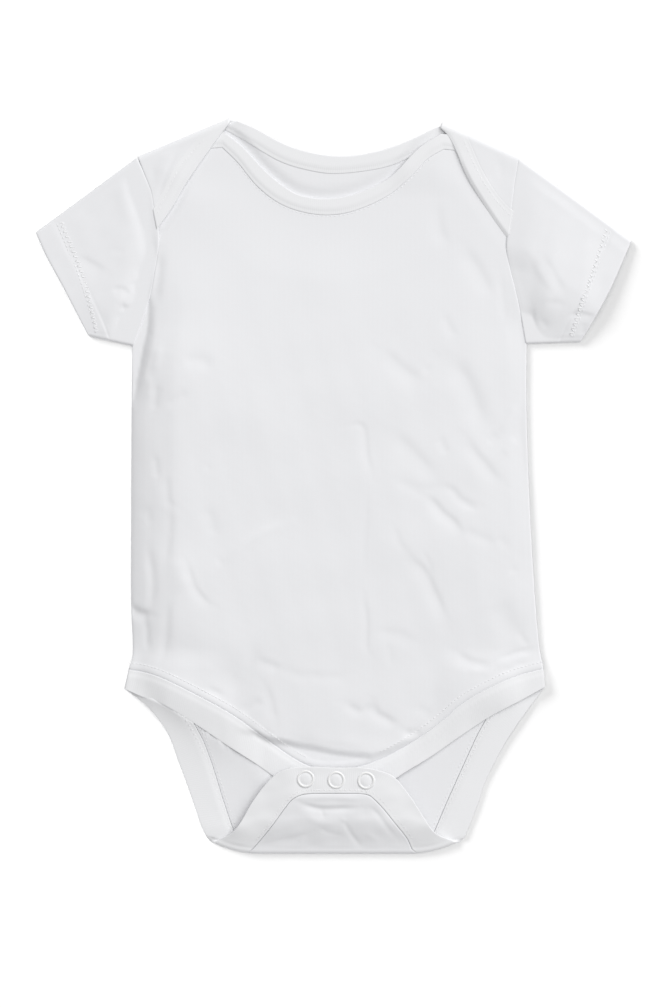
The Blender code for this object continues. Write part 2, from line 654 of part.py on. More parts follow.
def leg_binding_front():
    steps = 2 * (len(FRONT_EDGES[1]) - 1)
    pierced(band("leg_binding_front", *(sampled(FRONT_LEG[k], steps) for k in ("seam", "edge")), place_front))


def leg_binding_back():
    flap_left = np.array([(row["left"], row["y"]) for row in FLAP_ROWS])
    flap_right = np.array([(row["right"], row["y"]) for row in FLAP_ROWS])
    rows = len(FLAP_ROWS) - 1
    flap = {
        "seam": joined(flap_left, straight(flap_left[-1], flap_right[-1], FLAP_TOP_STEPS), flap_right[::-1]),
        "edge": joined(
            sampled(FLAP_EDGE_LEFT, rows),
            sampled(FLAP_EDGE_TOP, FLAP_TOP_STEPS),
            sampled(FLAP_EDGE_RIGHT, rows),
        ),
    }
    lines = []
    for side in ("seam", "edge"):
        left = sampled(BACK_LEG_LEFT[side], LEG_STEPS)
        right = sampled(BACK_LEG_RIGHT[side], LEG_STEPS)[::-1]
        left[-1], right[0] = FOLD_BOTTOM.at(left[-1][0]), FOLD_BOTTOM.at(right[0][0])
        over = np.array([FOLD_BOTTOM.flat(p) for p in flap[side]])
        for k in (0, -1):
            over[k] = FOLD_BOTTOM.at(over[k][0], FOLD_BOTTOM.arc)
        lines.append(np.vstack([
            left,
            round_fold(FOLD_BOTTOM, left[-1], over[0]),
            over,
            round_fold(FOLD_BOTTOM, right[0], over[-1])[::-1],
            right,
        ]))
    pierced(band("leg_binding_back", *lines, place_back))


def sleeve(name, armhole, shoulder, cuff, outward):
    """A flat tube: its lower side on the surface, its upper side a little raised, open at both ends."""
    along_steps, across_steps, turn_steps = 9, 11, 4
    seam = sampled([shoulder] + [(x, y) for x, y in armhole[1:]], 40)
    seam[:, 0] += outward * SEAM
    hem = sampled(cuff, 40)
    half = SLEEVE_EDGE / 2
    mesh = bmesh.new()

    def loop(part, depth):
        line = (1 - part) * seam + part * hem
        length = np.linalg.norm(np.diff(line, axis=0), axis=1).sum()
        inset = half / length
        t = np.linspace(0, 1, len(line))

        def at(u):
            return np.array([np.interp(u, t, line[:, k]) for k in range(2)])

        across = np.linspace(inset, 1 - inset, across_steps + 1)
        open_cuff = 0.8 * ease((part - 0.6) / 0.4)
        ring = [(*at(u), depth) for u in across]
        for end, inner in ((1.0, across[-1]), (0.0, across[0])):
            middle = at(inner)
            away = (at(end) - middle) / np.linalg.norm(at(end) - middle)
            for k in range(1, turn_steps):
                angle = math.pi * k / turn_steps
                way = -1 if end else 1
                plan = middle + away * (half - depth) * math.sin(angle)
                ring.append((*plan, half + way * (half - depth) * math.cos(angle)))
            if end:
                for u in across[::-1]:
                    x, y = at(u)
                    bulge = ease(min(u - inset, 1 - inset - u) * length / 14)
                    raised = bulge * (SLEEVE_LOFT + open_cuff + folds_at(x, y, SLEEVE_FOLDS))
                    ring.append((x, y, SLEEVE_EDGE - depth + max(0.0, raised)))
        return [mesh.verts.new(p) for p in ring]

    parts = np.linspace(0, 1, along_steps + 1)
    outside = [loop(part, 0.0) for part in parts]
    inside = [loop(part, CLOTH) for part in parts]
    bridge(mesh, outside)
    bridge(mesh, inside, inside_out=True)
    for out, into, way in ((outside[0], inside[0], 1), (outside[-1], inside[-1], -1)):
        for k in range(len(out)):
            face = [out[k - 1], out[k], into[k], into[k - 1]]
            mesh.faces.new(face[::way])
    return finish(name, mesh, "cotton_jersey")


def pierced(made):
    """Cuts the holes that the snaps' shanks pass through."""
    mesh = bmesh.new()
    for x, y in SNAPS:
        hole = bmesh.ops.create_cone(
            mesh, cap_ends=True, segments=SNAP_SIDES, radius1=SNAP_HOLE, radius2=SNAP_HOLE, depth=30.0
        )
        bmesh.ops.translate(mesh, vec=(x, y, 0.0), verts=hole["verts"])
    cutter = finish(made.name + "_holes", mesh, "snap_metal")
    cutter.hide_render = True
    cutter.display_type = "WIRE"
    cut = made.modifiers.new("snap holes", "BOOLEAN")
    cut.operation = "DIFFERENCE"
    cut.object = cutter


def turned(name, place, profile):
    """A round piece from (radius, height) pairs, from its axis at the top to its axis at the bottom."""
    mesh = bmesh.new()
    line = [mesh.verts.new((place[0] + r, place[1], z)) for r, z in profile]
    edges = [mesh.edges.new(pair) for pair in zip(line, line[1:])]
    bmesh.ops.spin(
        mesh, geom=line + edges, cent=(*place, 0.0), axis=(0, 0, 1), angle=2 * math.pi,
        steps=SNAP_SIDES, use_merge=True,
    )
    return finish(name, mesh, "snap_metal")


def snap(number, place):
    """A ring snap: its cap and socket on the flap, its stud on the tab below."""
    x, y = place
    flap_top = 2 * BOTTOM_RADIUS + flap_lift(x, y)
    flap_bottom = flap_top - BAND
    tab_bottom = front_floor(x, y)
    tab_top = tab_bottom + BAND
    cap = [
        (0.0, flap_top + 0.75), (1.9, flap_top + 0.7), (2.9, flap_top + 0.35), (3.5, flap_top + 0.9),
        (4.1, flap_top + 0.95), (4.7, flap_top + 0.5), (4.7, flap_top + 0.12), (2.0, flap_top + 0.12),
        (2.0, flap_bottom - 0.12), (3.9, flap_bottom - 0.12), (3.9, flap_bottom - 0.6),
        (1.8, flap_bottom - 0.6), (1.8, flap_bottom + 0.3), (0.0, flap_bottom + 0.3),
    ]
    stud = [
        (0.0, flap_bottom + 0.1), (1.2, flap_bottom + 0.1), (1.5, flap_bottom - 0.2),
        (1.5, tab_top + 0.55), (3.9, tab_top + 0.55), (3.9, tab_top + 0.1), (1.8, tab_top + 0.1),
        (1.8, tab_bottom - 0.1), (4.2, tab_bottom - 0.1), (4.2, CLOTH + 0.2), (0.0, CLOTH + 0.2),
    ]
    turned(f"snap_cap_{number}", place, cap)
    turned(f"snap_stud_{number}", place, stud)


def main():
    for old in list(bpy.data.objects):
        bpy.data.objects.remove(old, do_unlink=True)
    back_panel()
    front_panel()
    neck_binding_back()
    neck_binding_front()
    leg_binding_back()
    leg_binding_front()
    sleeve("sleeve_left", ARMHOLE_LEFT, SHOULDER_LEFT["sleeve"], CUFF_LEFT, -1)
    sleeve("sleeve_right", ARMHOLE_RIGHT, SHOULDER_RIGHT["sleeve"], CUFF_RIGHT, 1)
    for number, place in enumerate(SNAPS, 1):
        snap(number, place)


main()
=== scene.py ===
"""A baby's short-sleeved bodysuit with an envelope neck, laid flat: cloth, stitches and snaps.

Tables are in millimetres, seen from above: x to the right, y towards the neck, z up from
the surface it lies on. The back is one pattern piece, given in the flat and then folded:
its shoulders lap forward over the front and its crotch end folds up as the snap flap.
"""

import math

import bmesh
import bpy
import numpy as np
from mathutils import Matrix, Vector
from mathutils.kdtree import KDTree

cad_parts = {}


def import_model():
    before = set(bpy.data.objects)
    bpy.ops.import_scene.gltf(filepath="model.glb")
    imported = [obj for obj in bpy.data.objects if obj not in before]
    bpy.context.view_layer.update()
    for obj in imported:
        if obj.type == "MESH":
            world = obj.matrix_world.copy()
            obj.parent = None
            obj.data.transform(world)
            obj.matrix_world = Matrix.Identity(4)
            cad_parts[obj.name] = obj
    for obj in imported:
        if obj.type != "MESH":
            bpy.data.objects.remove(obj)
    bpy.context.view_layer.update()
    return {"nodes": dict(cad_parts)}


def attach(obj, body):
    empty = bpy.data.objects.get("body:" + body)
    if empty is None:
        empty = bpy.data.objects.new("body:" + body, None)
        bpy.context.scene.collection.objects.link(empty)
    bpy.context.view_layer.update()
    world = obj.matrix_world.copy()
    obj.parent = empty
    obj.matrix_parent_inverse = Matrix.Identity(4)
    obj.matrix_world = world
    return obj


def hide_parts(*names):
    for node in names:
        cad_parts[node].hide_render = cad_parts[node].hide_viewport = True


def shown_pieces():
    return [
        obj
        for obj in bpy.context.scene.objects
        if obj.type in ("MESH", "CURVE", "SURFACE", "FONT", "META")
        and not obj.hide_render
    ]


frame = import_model()

MM = 0.001
CLOTH = 1.0
BAND = 1.8
SEAM = 0.3
FRONT_FLOOR = CLOTH + SEAM

SHOULDER_RADIUS = 3.0
BOTTOM_RADIUS = 2.7
SHOULDER_DROP = 1.9  # how much lower than the fold's own height the upper layer comes to lie
BOTTOM_DROP = 2.0
BOTTOM_LINE_Y = -196.4
BOTTOM_STRAIGHT = 40.0
BOTTOM_CORNER_RUN = 24.0
BOTTOM_CORNER_RISE = 5.4
BOTTOM_CORNER_MOST = 6.0

MOST_LOFT = 8.4
LOFT_AT_LAPS = (0.15, 0.8)  # left and right
NECK_RUN = 38
SIDES_BLEND = 0.35
LOW_BELLY_DROP = 1.9
LAP_TOPS = (172, 180)  # y, left and right
ARMPIT_Y = 84
ARMHOLE_FULLNESS = 13  # beside the armholes the front is as full as this much further in
LEG_LIFT = (3.6, 1.3)  # left and right
LEG_TILT = (0.17, 0.1)  # the leg bindings' slope down to their free edges, left and right
FRONT_UNEVENNESS = [(0.35, 50, 1), (0.1, 19, 2), (0.015, 7, 8)]  # height, scale and seed
LAP_UNEVENNESS = 0.06
FALL_ENDS = 25
BAND_STEP = BAND - CLOTH + 0.1
HIP_STEP = 1.8
TAB_STEP = 0.9
FLAP_STEP = 2.5
FLAP_LOFT = 5.4
SNAP_BAND_Y = -176
LAP_LOFT = 0.5

# How far the back rises inside the neck and towards the leg bindings and the flap.
NECK_RISE = 1.5
LEG_RISE = (2.6, 0.6)  # left and right
LEFT_HIP_RISE = 1.0
HIP_RISE = (1.75, 1.1)  # left and right
FLAP_SIDE_RISE = 1.6
MOST_HOLLOW = 0.7

SLEEVE_EDGE = 2.9
SLEEVE_TOP_EDGE = 4.1  # beside the shoulder's fold
SLEEVE_LENGTH = 45.0
HEM = 11.5  # depth of the sleeves' turned hems

ROLL = 0.7  # the cloth turns over its cut edge within this distance
ROLL_STEPS = (0.0, 0.12, 0.4, 0.8)  # distances from a cut edge, close enough to round it
AFTER_ROLL = 1.4
BAND_STITCHES = 1.9  # distance of a binding's stitches from its seam
SEAM_THINNER = 0.45  # how much thinner a binding is at its seam, and over what distance
THIN_RUN = 4.5
STITCHES_SINK = 0.05  # how far a binding's stitches draw it in
THREAD_CLEAR = 0.02  # how far a row of stitches stands off the cloth

RING_RADIUS = 4.05  # of a snap's ring, to the middle of its rim
RING_RIM = (0.62, 0.48)  # half the rim's width and height
RING_SINK = 0.35

SHOULDER_LEFT = {"sleeve": (-106.2, 176.4), "neck": (-60.2, 195.7)}
SHOULDER_RIGHT = {"sleeve": (99.2, 176.4), "neck": (59.4, 194.5)}

ARMHOLE_LEFT = [
    (-104.5, 174.3), (-98.4, 158.3), (-96.6, 148.1), (-94.6, 138.0), (-94.8, 126.0),
    (-98.0, 107.0), (-101.6, 94.0), (-108.3, 75.3),
]
ARMHOLE_RIGHT = [
    (98.4, 173.9), (96.4, 161.0), (95.0, 149.0), (93.6, 138.0), (92.4, 128.0),
    (94.2, 117.0), (97.0, 106.0), (100.2, 92.0), (103.0, 76.4),
]
SIDE_LEFT = [
    (-108.3, 75.3), (-108.7, 41.0), (-108.9, -12.0), (-108.9, -60.0), (-108.0, -88.0),
    (-110.2, -98.0),
]
SIDE_RIGHT = [
    (103.0, 76.4), (102.8, 50.0), (103.8, 8.0), (106.2, -42.0), (109.2, -82.0), (111.8, -97.4),
]

BACK_NECK_SEAM = [
    (-60.2, 192.9), (-49.0, 186.6), (-29.2, 174.9), (-11.5, 169.6), (3.5, 168.4),
    (26.5, 171.6), (43.0, 178.5), (62.5, 190.2),
]
BACK_NECK_EDGE = [
    (-52.5, 196.1), (-42.2, 191.9), (-29.2, 184.8), (-16.9, 180.2), (0.0, 177.2),
    (16.0, 178.3), (35.0, 183.4), (56.6, 193.6),
]
LAP_LEFT_SEAM = [(-70.5, 188.7), (-83.2, 174.0), (-90.0, 162.0), (-96.6, 148.0)]
LAP_LEFT_EDGE = [(-56.5, 194.4), (-66.5, 180.8), (-79.0, 162.8), (-86.0, 150.6), (-95.2, 137.4)]
LAP_RIGHT_SEAM = [(70.8, 186.6), (79.0, 168.6), (87.0, 156.0), (95.0, 147.2)]
LAP_RIGHT_EDGE = [
    (56.6, 192.2), (60.4, 188.2), (64.8, 180.0), (71.6, 164.1), (84.0, 144.6), (93.2, 131.8),
]

FRONT_SHOULDER_LEFT = {
    "seam": [(-101.0, 166.0), (-84.0, 173.0), (-68.5, 180.6), (-60.0, 182.0)],
    "edge": [(-104.0, 173.6), (-84.0, 182.0), (-66.0, 189.4), (-59.6, 190.0)],
}
FRONT_NECK = {
    "seam": [
        (-60.0, 182.0), (-51.6, 173.8), (-41.5, 161.5), (-30.0, 152.4), (-17.0, 147.4),
        (-3.0, 145.8), (11.0, 148.2), (27.6, 155.6), (40.0, 165.6), (49.6, 175.6), (58.6, 181.0),
    ],
    "edge": [
        (-59.6, 190.0), (-50.0, 182.6), (-36.0, 168.0), (-25.1, 159.4), (-16.9, 155.6),
        (-5.0, 154.1), (7.8, 155.8), (20.0, 160.2), (31.0, 166.8), (45.2, 181.3), (57.0, 188.9),
    ],
}
FRONT_SHOULDER_RIGHT = {
    "seam": [(58.6, 181.0), (68.0, 179.4), (81.0, 172.4), (95.4, 164.4)],
    "edge": [(57.0, 188.9), (65.0, 187.6), (80.0, 181.2), (97.2, 172.6)],
}
FRONT_LEG = {
    "seam": [
        (-110.2, -98.0), (-100.5, -99.6), (-89.8, -103.4), (-72.0, -112.3), (-54.1, -122.4),
        (-37.7, -134.4), (-22.5, -145.0), (-11.0, -150.4), (0.5, -151.2), (12.0, -150.2),
        (27.5, -144.6), (45.0, -134.6), (57.5, -125.4), (69.5, -115.2), (86.0, -106.0),
        (98.0, -101.2), (111.8, -97.4),
    ],
    "edge": [
        (-112.4, -108.2), (-101.4, -113.0), (-92.3, -116.0), (-75.2, -126.4), (-58.6, -137.6),
        (-42.0, -148.3), (-30.0, -156.8), (-17.0, -165.2), (0.5, -166.6), (18.0, -165.2),
        (31.0, -157.2), (39.9, -151.5), (52.2, -144.0), (70.0, -131.6), (84.8, -122.1),
        (101.4, -113.4), (112.6, -107.1),
    ],
}
BACK_LEG_LEFT = {
    "seam": [
        (-110.2, -98.0), (-94.0, -108.6), (-80.0, -120.0), (-71.7, -132.8), (-66.0, -147.0),
        (-59.4, -168.0), (-54.8, -181.5), (-50.8, -192.6),
    ],
    "edge": [
        (-112.4, -108.2), (-100.3, -117.3), (-89.6, -131.2), (-83.2, -147.8), (-77.3, -163.8),
        (-71.7, -180.4), (-68.4, -187.6),
    ],
}
BACK_LEG_RIGHT = {
    "seam": [
        (111.8, -97.4), (98.0, -107.6), (86.0, -117.5), (77.6, -130.6), (69.0, -149.0),
        (59.6, -170.0), (54.3, -182.5), (49.6, -192.8),
    ],
    "edge": [
        (112.6, -107.1), (101.4, -122.0), (93.0, -134.4), (87.6, -144.0), (81.0, -157.0),
        (76.2, -171.0), (69.6, -187.7),
    ],
}
FLAP_ROWS = [
    {"y": -193.6, "left": -43.5, "right": 41.2},
    {"y": -187.9, "left": -38.6, "right": 38.6},
    {"y": -180.0, "left": -32.4, "right": 32.4},
    {"y": -172.5, "left": -27.0, "right": 26.4},
    {"y": -167.2, "left": -22.6, "right": 21.4},
    {"y": -164.6, "left": -17.6, "right": 17.8},
    {"y": -163.8, "left": -12.0, "right": 12.6},
]
FLAP_EDGE_LEFT = [
    (-62.2, -189.2), (-52.7, -182.8), (-43.4, -167.6), (-34.4, -156.2), (-27.6, -151.6),
    (-20.6, -149.8), (-11.0, -149.4),
]
FLAP_EDGE_TOP = [(-11.0, -149.4), (1.0, -150.0), (13.0, -149.7)]
FLAP_EDGE_RIGHT = [
    (13.0, -149.7), (22.6, -151.2), (31.8, -155.0), (40.6, -165.6), (47.3, -176.1),
    (53.8, -185.0), (62.5, -189.3),
]
CUFF_LEFT = [(-160.0, 136.3), (-154.3, 123.5), (-145.0, 106.4), (-131.6, 80.6)]
CUFF_RIGHT = [(159.0, 132.0), (152.6, 117.0), (145.0, 100.8), (131.6, 77.4)]
SNAPS = [(-15.4, -155.9), (0.9, -156.5), (16.9, -156.8)]

LEFT_RISE = {
    "in": [0, 1, 3, 7, 13, 23, 33, 60, 240],
    "rise": [0.0, 0.8, 1.8, 3.3, 4.8, 6.6, 7.6, 8.4, 8.6],
}
RIGHT_RISE = {
    "in": [0, 1.5, 4, 10, 30, 70, 110, 150, 190, 240],
    "rise": [0.0, 0.1, 0.4, 1.0, 2.1, 3.1, 4.0, 5.1, 6.8, 8.2],
}
SLEEVE_FROM_TOP = {"in": [0, 10, 40, 120], "rise": [0.0, 0.5, 2.8, 4.2]}
SLEEVE_FROM_BELOW = {"in": [0, 3, 12, 24, 40, 120], "rise": [0.0, 0.4, 2.1, 3.9, 4.6, 4.7]}
DROP_TO_TAB = {
    "x": [-58, -42, -35, 0, 20, 30, 42, 58],
    "y": [-131.0, -133.0, -136.5, -142.8, -145.4, -142.0, -136.0, -130.0],
}
DROP_RUN = 4.5

# Creases: each one's height (troughs are negative), how far it reaches to the left and to the
# right of the way its line runs, and the line.
FRONT_CREASES = [
    (-0.6, 1.4, 1.3, [(-77.3, 164.7), (-84.8, 151.8), (-91.2, 142.2)]),
    (-0.9, 2.8, 2.8, [(-93.4, 126.7), (-94.2, 116), (-95.5, 104.2), (-97.1, 95.7)]),
    (-0.35, 2.8, 4.9, [(54.8, 153.4), (55.9, 140.1), (60.2, 127.8)]),
    (-0.45, 3.4, 5.6, [(68.7, 128.8), (72.5, 122.4), (76.8, 116), (81.6, 106.4), (84.3, 99.9)]),
    (-0.2, 2.1, 2.8, [(88.5, 114.9), (90.1, 99.9), (91.8, 86.6)]),
    (-0.25, 2.1, 3.5, [(58, 92.4), (61.3, 86), (64.5, 79.6)]),
    (0.2, 1.7, 2.8, [(96.6, 126.7), (97.1, 105.3), (99.8, 83.9)]),
    (-0.45, 3.1, 6.3, [(25.4, 73.2), (34, 64.6), (40.4, 59.8), (49, 55)]),
    (-0.2, 2.5, 2.8, [(47.9, 64.6), (51.1, 60.3)]),
    (-0.8, 4.5, 7.7, [(59.7, 67.8), (67.1, 61.4), (71.4, 54.5), (74.6, 46.4), (77.8, 37.9),
        (82.7, 32.5)]),
    (-0.55, 2.5, 4.8, [(69.3, 27.2), (74.6, 18.6), (81.1, 11.1), (85.3, 5.8), (90.1, 2.6)]),
    (-0.25, 2.1, 2.8, [(55.9, 27.2), (60.2, 17)]),
    (-0.5, 3.4, 6.3, [(30.8, 28.2), (39.3, 20.8), (45.7, 14.3), (51.1, 7.9), (53.8, 4.2)]),
    (-0.25, 2.8, 3.5, [(31.8, 4.2), (41.5, -0.1), (47.9, -1.7), (57, -0.1)]),
    (-0.42, 1.8, 3.1, [(56.4, 0.4), (62.9, -1.7), (67.1, -6.5), (72.5, -9.2), (77.8, -9.7)]),
    (-0.15, 1.1, 1.4, [(68.7, -9.7), (76.8, -12.1)]),
    (-0.6, 1.8, 4.2, [(47.3, -4.4), (52.7, -8.1), (58, -14), (62.9, -17.8), (65.5, -21),
        (68.2, -25.8)]),
    (-0.25, 2.5, 3.1, [(67.7, -22.6), (72.5, -24.7), (78.9, -27.4), (83.2, -29.5), (86.4, -32.7)]),
    (0.3, 2.2, 3.1, [(86.9, 30.4), (91.2, 33.6), (98.2, 45.4)]),
    (0.3, 2.2, 3.1, [(89.6, 17.5), (92.8, 20.8), (97.1, 26.6)]),
    (-0.2, 2.2, 2.2, [(82.1, 22.9), (86.9, 28.2)]),
    (-0.2, 2.8, 2.8, [(87.5, -26.3), (92.8, -32.7)]),
    (-0.2, 2.2, 2.2, [(95, -42.4), (97.1, -46.7)]),
    (-0.28, 1.1, 2.8, [(5.1, 32.5), (12.6, 33.6), (15.8, 31.5), (16.9, 25), (17.4, 18.6),
        (18.5, 12.7), (20.6, 5.8)]),
    (-0.1, 1.3, 2.5, [(17.4, 3.6), (16.9, -17.8), (15.8, -37), (15.8, -48.8)]),
    (-0.3, 1.1, 2.5, [(15.8, -56.3), (16.3, -62.7), (17.4, -72.3), (17.4, -86.2), (20.6, -90.5)]),
    (-0.18, 1.4, 3.1, [(31.8, -21), (35, -29.5), (39.3, -34.9)]),
    (-0.52, 2, 5, [(38.3, -34.9), (41.5, -39.2), (46.3, -43.4), (50, -48.8), (52.7, -55.2),
        (55.4, -60.6), (57.5, -66.4), (60.7, -72.3)]),
    (-0.16, 1.4, 2, [(47.3, -34.3), (51.1, -42.4), (52.7, -48.8)]),
    (-0.3, 2.8, 4.2, [(21.1, -77.7), (32.9, -78.8), (40.4, -82), (44.7, -84.6)]),
    (-0.14, 2, 2.5, [(27.6, -83), (29.7, -90), (30.2, -96.9)]),
    (-0.5, 6.3, 7, [(86.4, -60.6), (92.8, -72.3), (100.3, -83)]),
    (-0.6, 2.2, 4.2, [(64.5, -88.4), (70.4, -92.7), (76.8, -94.8), (84.8, -95.3)]),
    (-0.5, 1.4, 2.1, [(85.9, -93.2), (92.8, -90.5), (99.2, -88.4), (106.2, -86.8), (109.4, -84.6)]),
    (0.2, 1.8, 1.7, [(88, -94.8), (96, -91.6), (103.5, -88.9)]),
    (-0.4, 1.5, 1.5, [(88, -98.5), (93.9, -97.5), (99.2, -94.8), (103.5, -93.2)]),
    (0.25, 2, 2, [(70.4, -98.5), (77.8, -98.5), (84.8, -99.6)]),
    (-0.25, 1.7, 2, [(98.2, -76.6), (101.4, -82), (104.6, -85.2)]),
    (-0.45, 2.1, 3.1, [(5.1, -115.1), (11.5, -119.4), (15.2, -119.9), (17.9, -117.3),
        (20.1, -114.6)]),
    (-0.6, 2, 3.4, [(20.1, -114.6), (22.7, -121), (28.1, -124.2), (34.5, -128)]),
    (-0.7, 2.2, 2.5, [(36.6, -130.6), (41.5, -132.3), (46.8, -130.6)]),
    (-0.2, 2, 2.8, [(42.5, -117.8), (47.9, -119.9), (52.2, -123.2)]),
    (-0.55, 3.1, 2, [(-29.2, -137.6), (-22.2, -136.5), (-15.2, -137.6), (-7.8, -139.2),
        (0.3, -139.7), (9.4, -141.3), (15.8, -142.4), (22.2, -144)]),
    (0.15, 2.2, 2.5, [(-18.5, -144.6), (2.9, -143.5), (20.1, -146.2)]),
    (-0.4, 1.7, 2, [(-68.2, -107.6), (-63.4, -109.8), (-59.1, -111.9)]),
    (-0.45, 2.2, 2.5, [(-50, -121.6), (-44.1, -117.3), (-37.7, -113.5)]),
    (-0.3, 2, 3.6, [(-38.3, -104.4), (-35.6, -109.8), (-34, -115.1), (-32.9, -120.5),
        (-30.8, -126.9)]),
    (-0.38, 2.1, 3.4, [(-42, -92.7), (-35.6, -94.8), (-28.1, -97.5)]),
    (-0.22, 2.5, 3.6, [(-27, -96.9), (-18.5, -101.2), (-11, -101.8)]),
    (-0.4, 3.9, 4.5, [(-57.5, -110.9), (-50.6, -103.4), (-45.7, -96.9), (-43.1, -88.4),
        (-40.4, -82)]),
    (-0.3, 1.7, 1.7, [(-38.8, -129.6), (-33.4, -133.9)]),
    (-0.2, 2.2, 3.4, [(-17.4, -99.6), (-2.4, -101.8), (8.3, -100.2)]),
    (-0.35, 1.8, 2.8, [(-89.6, 6.8), (-89.1, -1.7), (-88, -8.7), (-83.7, -10.8)]),
    (-0.42, 2.2, 3.1, [(-88, -8.7), (-88, -23.1), (-89.6, -37), (-90.7, -42.4)]),
    (-0.35, 1.7, 2, [(-96, 17.5), (-95, 9), (-95, 3.6)]),
    (-0.45, 2.2, 2.2, [(-94.4, 55), (-95.5, 48.6), (-96.6, 40)]),
    (-0.65, 2.5, 2.5, [(-99.8, -31.7), (-97.6, -44.5), (-97.1, -55.2), (-99.2, -67)]),
    (-0.6, 1.8, 1.8, [(-100.8, -70.2), (-100.3, -79.8), (-100.3, -88.4)]),
    (-1.1, 2, 3.9, [(-109.4, -63.8), (-104.1, -67.5), (-98.2, -68.1)]),
    (-0.5, 2.1, 3.1, [(-86.9, -59.5), (-89.1, -67), (-89.6, -76.6), (-90.7, -85.2),
        (-93.4, -94.8)]),
    (0.35, 4.9, 4.9, [(-84.8, -37), (-82.7, -47.7), (-78.4, -56.3)]),
    (0.32, 2.1, 3.5, [(-60.2, -44), (-54.8, -37), (-49.5, -31.1), (-43.1, -26.9), (-35.6, -23.1),
        (-22.7, -18.3)]),
    (-0.15, 2.2, 2.2, [(-63.4, -40.8), (-59.1, -39.2)]),
    (-0.35, 1.5, 3.1, [(-79.4, -39.2), (-77.3, -45.6), (-75.2, -52.5), (-72, -57.4), (-67.7, -62.2),
        (-63.9, -63.8)]),
    (-0.3, 3.1, 4.2, [(-69.8, -10.3), (-66.1, -17.8), (-64.5, -27.4)]),
    (-0.3, 2.8, 2.8, [(-90.1, 42.2), (-84.8, 46.4), (-77.3, 50.7)]),
    (-0.35, 3.4, 3.9, [(-81.6, 65.7), (-73, 67.8), (-64.5, 63.6)]),
    (-0.1, 2.1, 2.1, [(-69.8, 10.1), (-65.5, 10.1)]),
    (-0.25, 2.2, 2.2, [(-103, -17.8), (-100.3, -12.4), (-98.7, -22)]),
    (0.35, 2.2, 1.7, [(-100.8, 60.3), (-99.2, 53.9), (-100.3, 45.4)]),
    (0.3, 2.1, 2.1, [(-93.4, 75.9), (-95, 67.8), (-97.1, 61.4)]),
    (-0.3, 9.8, 9.8, [(-98.7, -108.7), (-82.7, -82), (-74.1, -60.6)]),
    (0.25, 12.6, 16.8, [(-2.4, 67.8), (8.3, 35.7), (9.4, 9)]),
    (-0.3, 16.8, 16.8, [(-45.2, -17.8), (-18.5, -39.2), (-2.4, -71.3)]),
    (-0.35, 12.6, 12.6, [(35, -49.9), (45.7, -82), (47.9, -108.7)]),
    (0.2, 16.8, 16.8, [(-18.5, 126.7), (-2.4, 99.9), (-2.4, 73.2)]),
    (-0.2, 14, 14, [(-58.6, 121.3), (-53.2, 83.9), (-55.9, 46.4)]),
]
FLAP_CREASES = [
    (0.32, 1.3, 1.3, [(-22.7, -166.5), (-13.1, -166), (0.8, -166), (17.9, -166.5)]),
    (-0.7, 1.3, 2, [(-20.1, -167.6), (-16.3, -169.7), (-7.8, -171.8), (3.5, -171.8),
        (14.7, -171.3)]),
    (-0.21, 1.2, 1.2, [(-7.2, -171.8), (-5.6, -177.2)]),
    (-0.35, 1.3, 1.8, [(16.9, -170.8), (21.1, -172.9), (24.9, -177.2), (28.6, -182.5),
        (34, -188.4)]),
    (-0.35, 1.3, 1.4, [(4.5, -177.7), (8.3, -184.7), (11.5, -189), (14.2, -192.7)]),
    (0.21, 1.1, 1.1, [(3.5, -176.7), (6.2, -179.3)]),
    (-0.17, 1.3, 1.3, [(-8.8, -181.5), (-3.5, -184.7), (4.5, -186.3)]),
    (-0.35, 1.4, 2.9, [(-38.8, -191.6), (-29.2, -189), (-20.6, -187.4), (-11.5, -184.1)]),
    (0.24, 2.2, 2.2, [(-16.3, -174), (-7.8, -179.3), (2.9, -180.4)]),
    (0.17, 2.2, 2.2, [(-35.6, -186.8), (-28.1, -181.5)]),
    (0.17, 1.3, 1.3, [(-19.5, -190), (-15.2, -186.8)]),
    (0.17, 1.8, 1.8, [(15.8, -184.7), (24.3, -190)]),
]
LAP_LEFT_CREASES = [
    (-0.21, 1.3, 1.5, [(-79.4, 186.1), (-85.9, 175.9), (-92.3, 160.9), (-95, 150.2)]),
    (-0.24, 0.8, 0.9, [(-69.8, 187.1), (-81.1, 172.7), (-87.5, 162), (-93.4, 150.8)]),
    (-0.18, 0.8, 0.9, [(-66.1, 185), (-76.2, 171.6), (-83.2, 160.4), (-89.1, 150.2)]),
    (-0.12, 1.5, 1.5, [(-96.6, 171.6), (-97.1, 164.1)]),
    (0.18, 2.8, 2.8, [(-89.1, 180.2), (-93.4, 166.3)]),
]
LAP_RIGHT_CREASES = [
    (-0.12, 1.8, 1.8, [(88.5, 174.8), (89.1, 164.1)]),
    (0.12, 2.2, 2.2, [(81.1, 166.3), (82.1, 157.7)]),
]
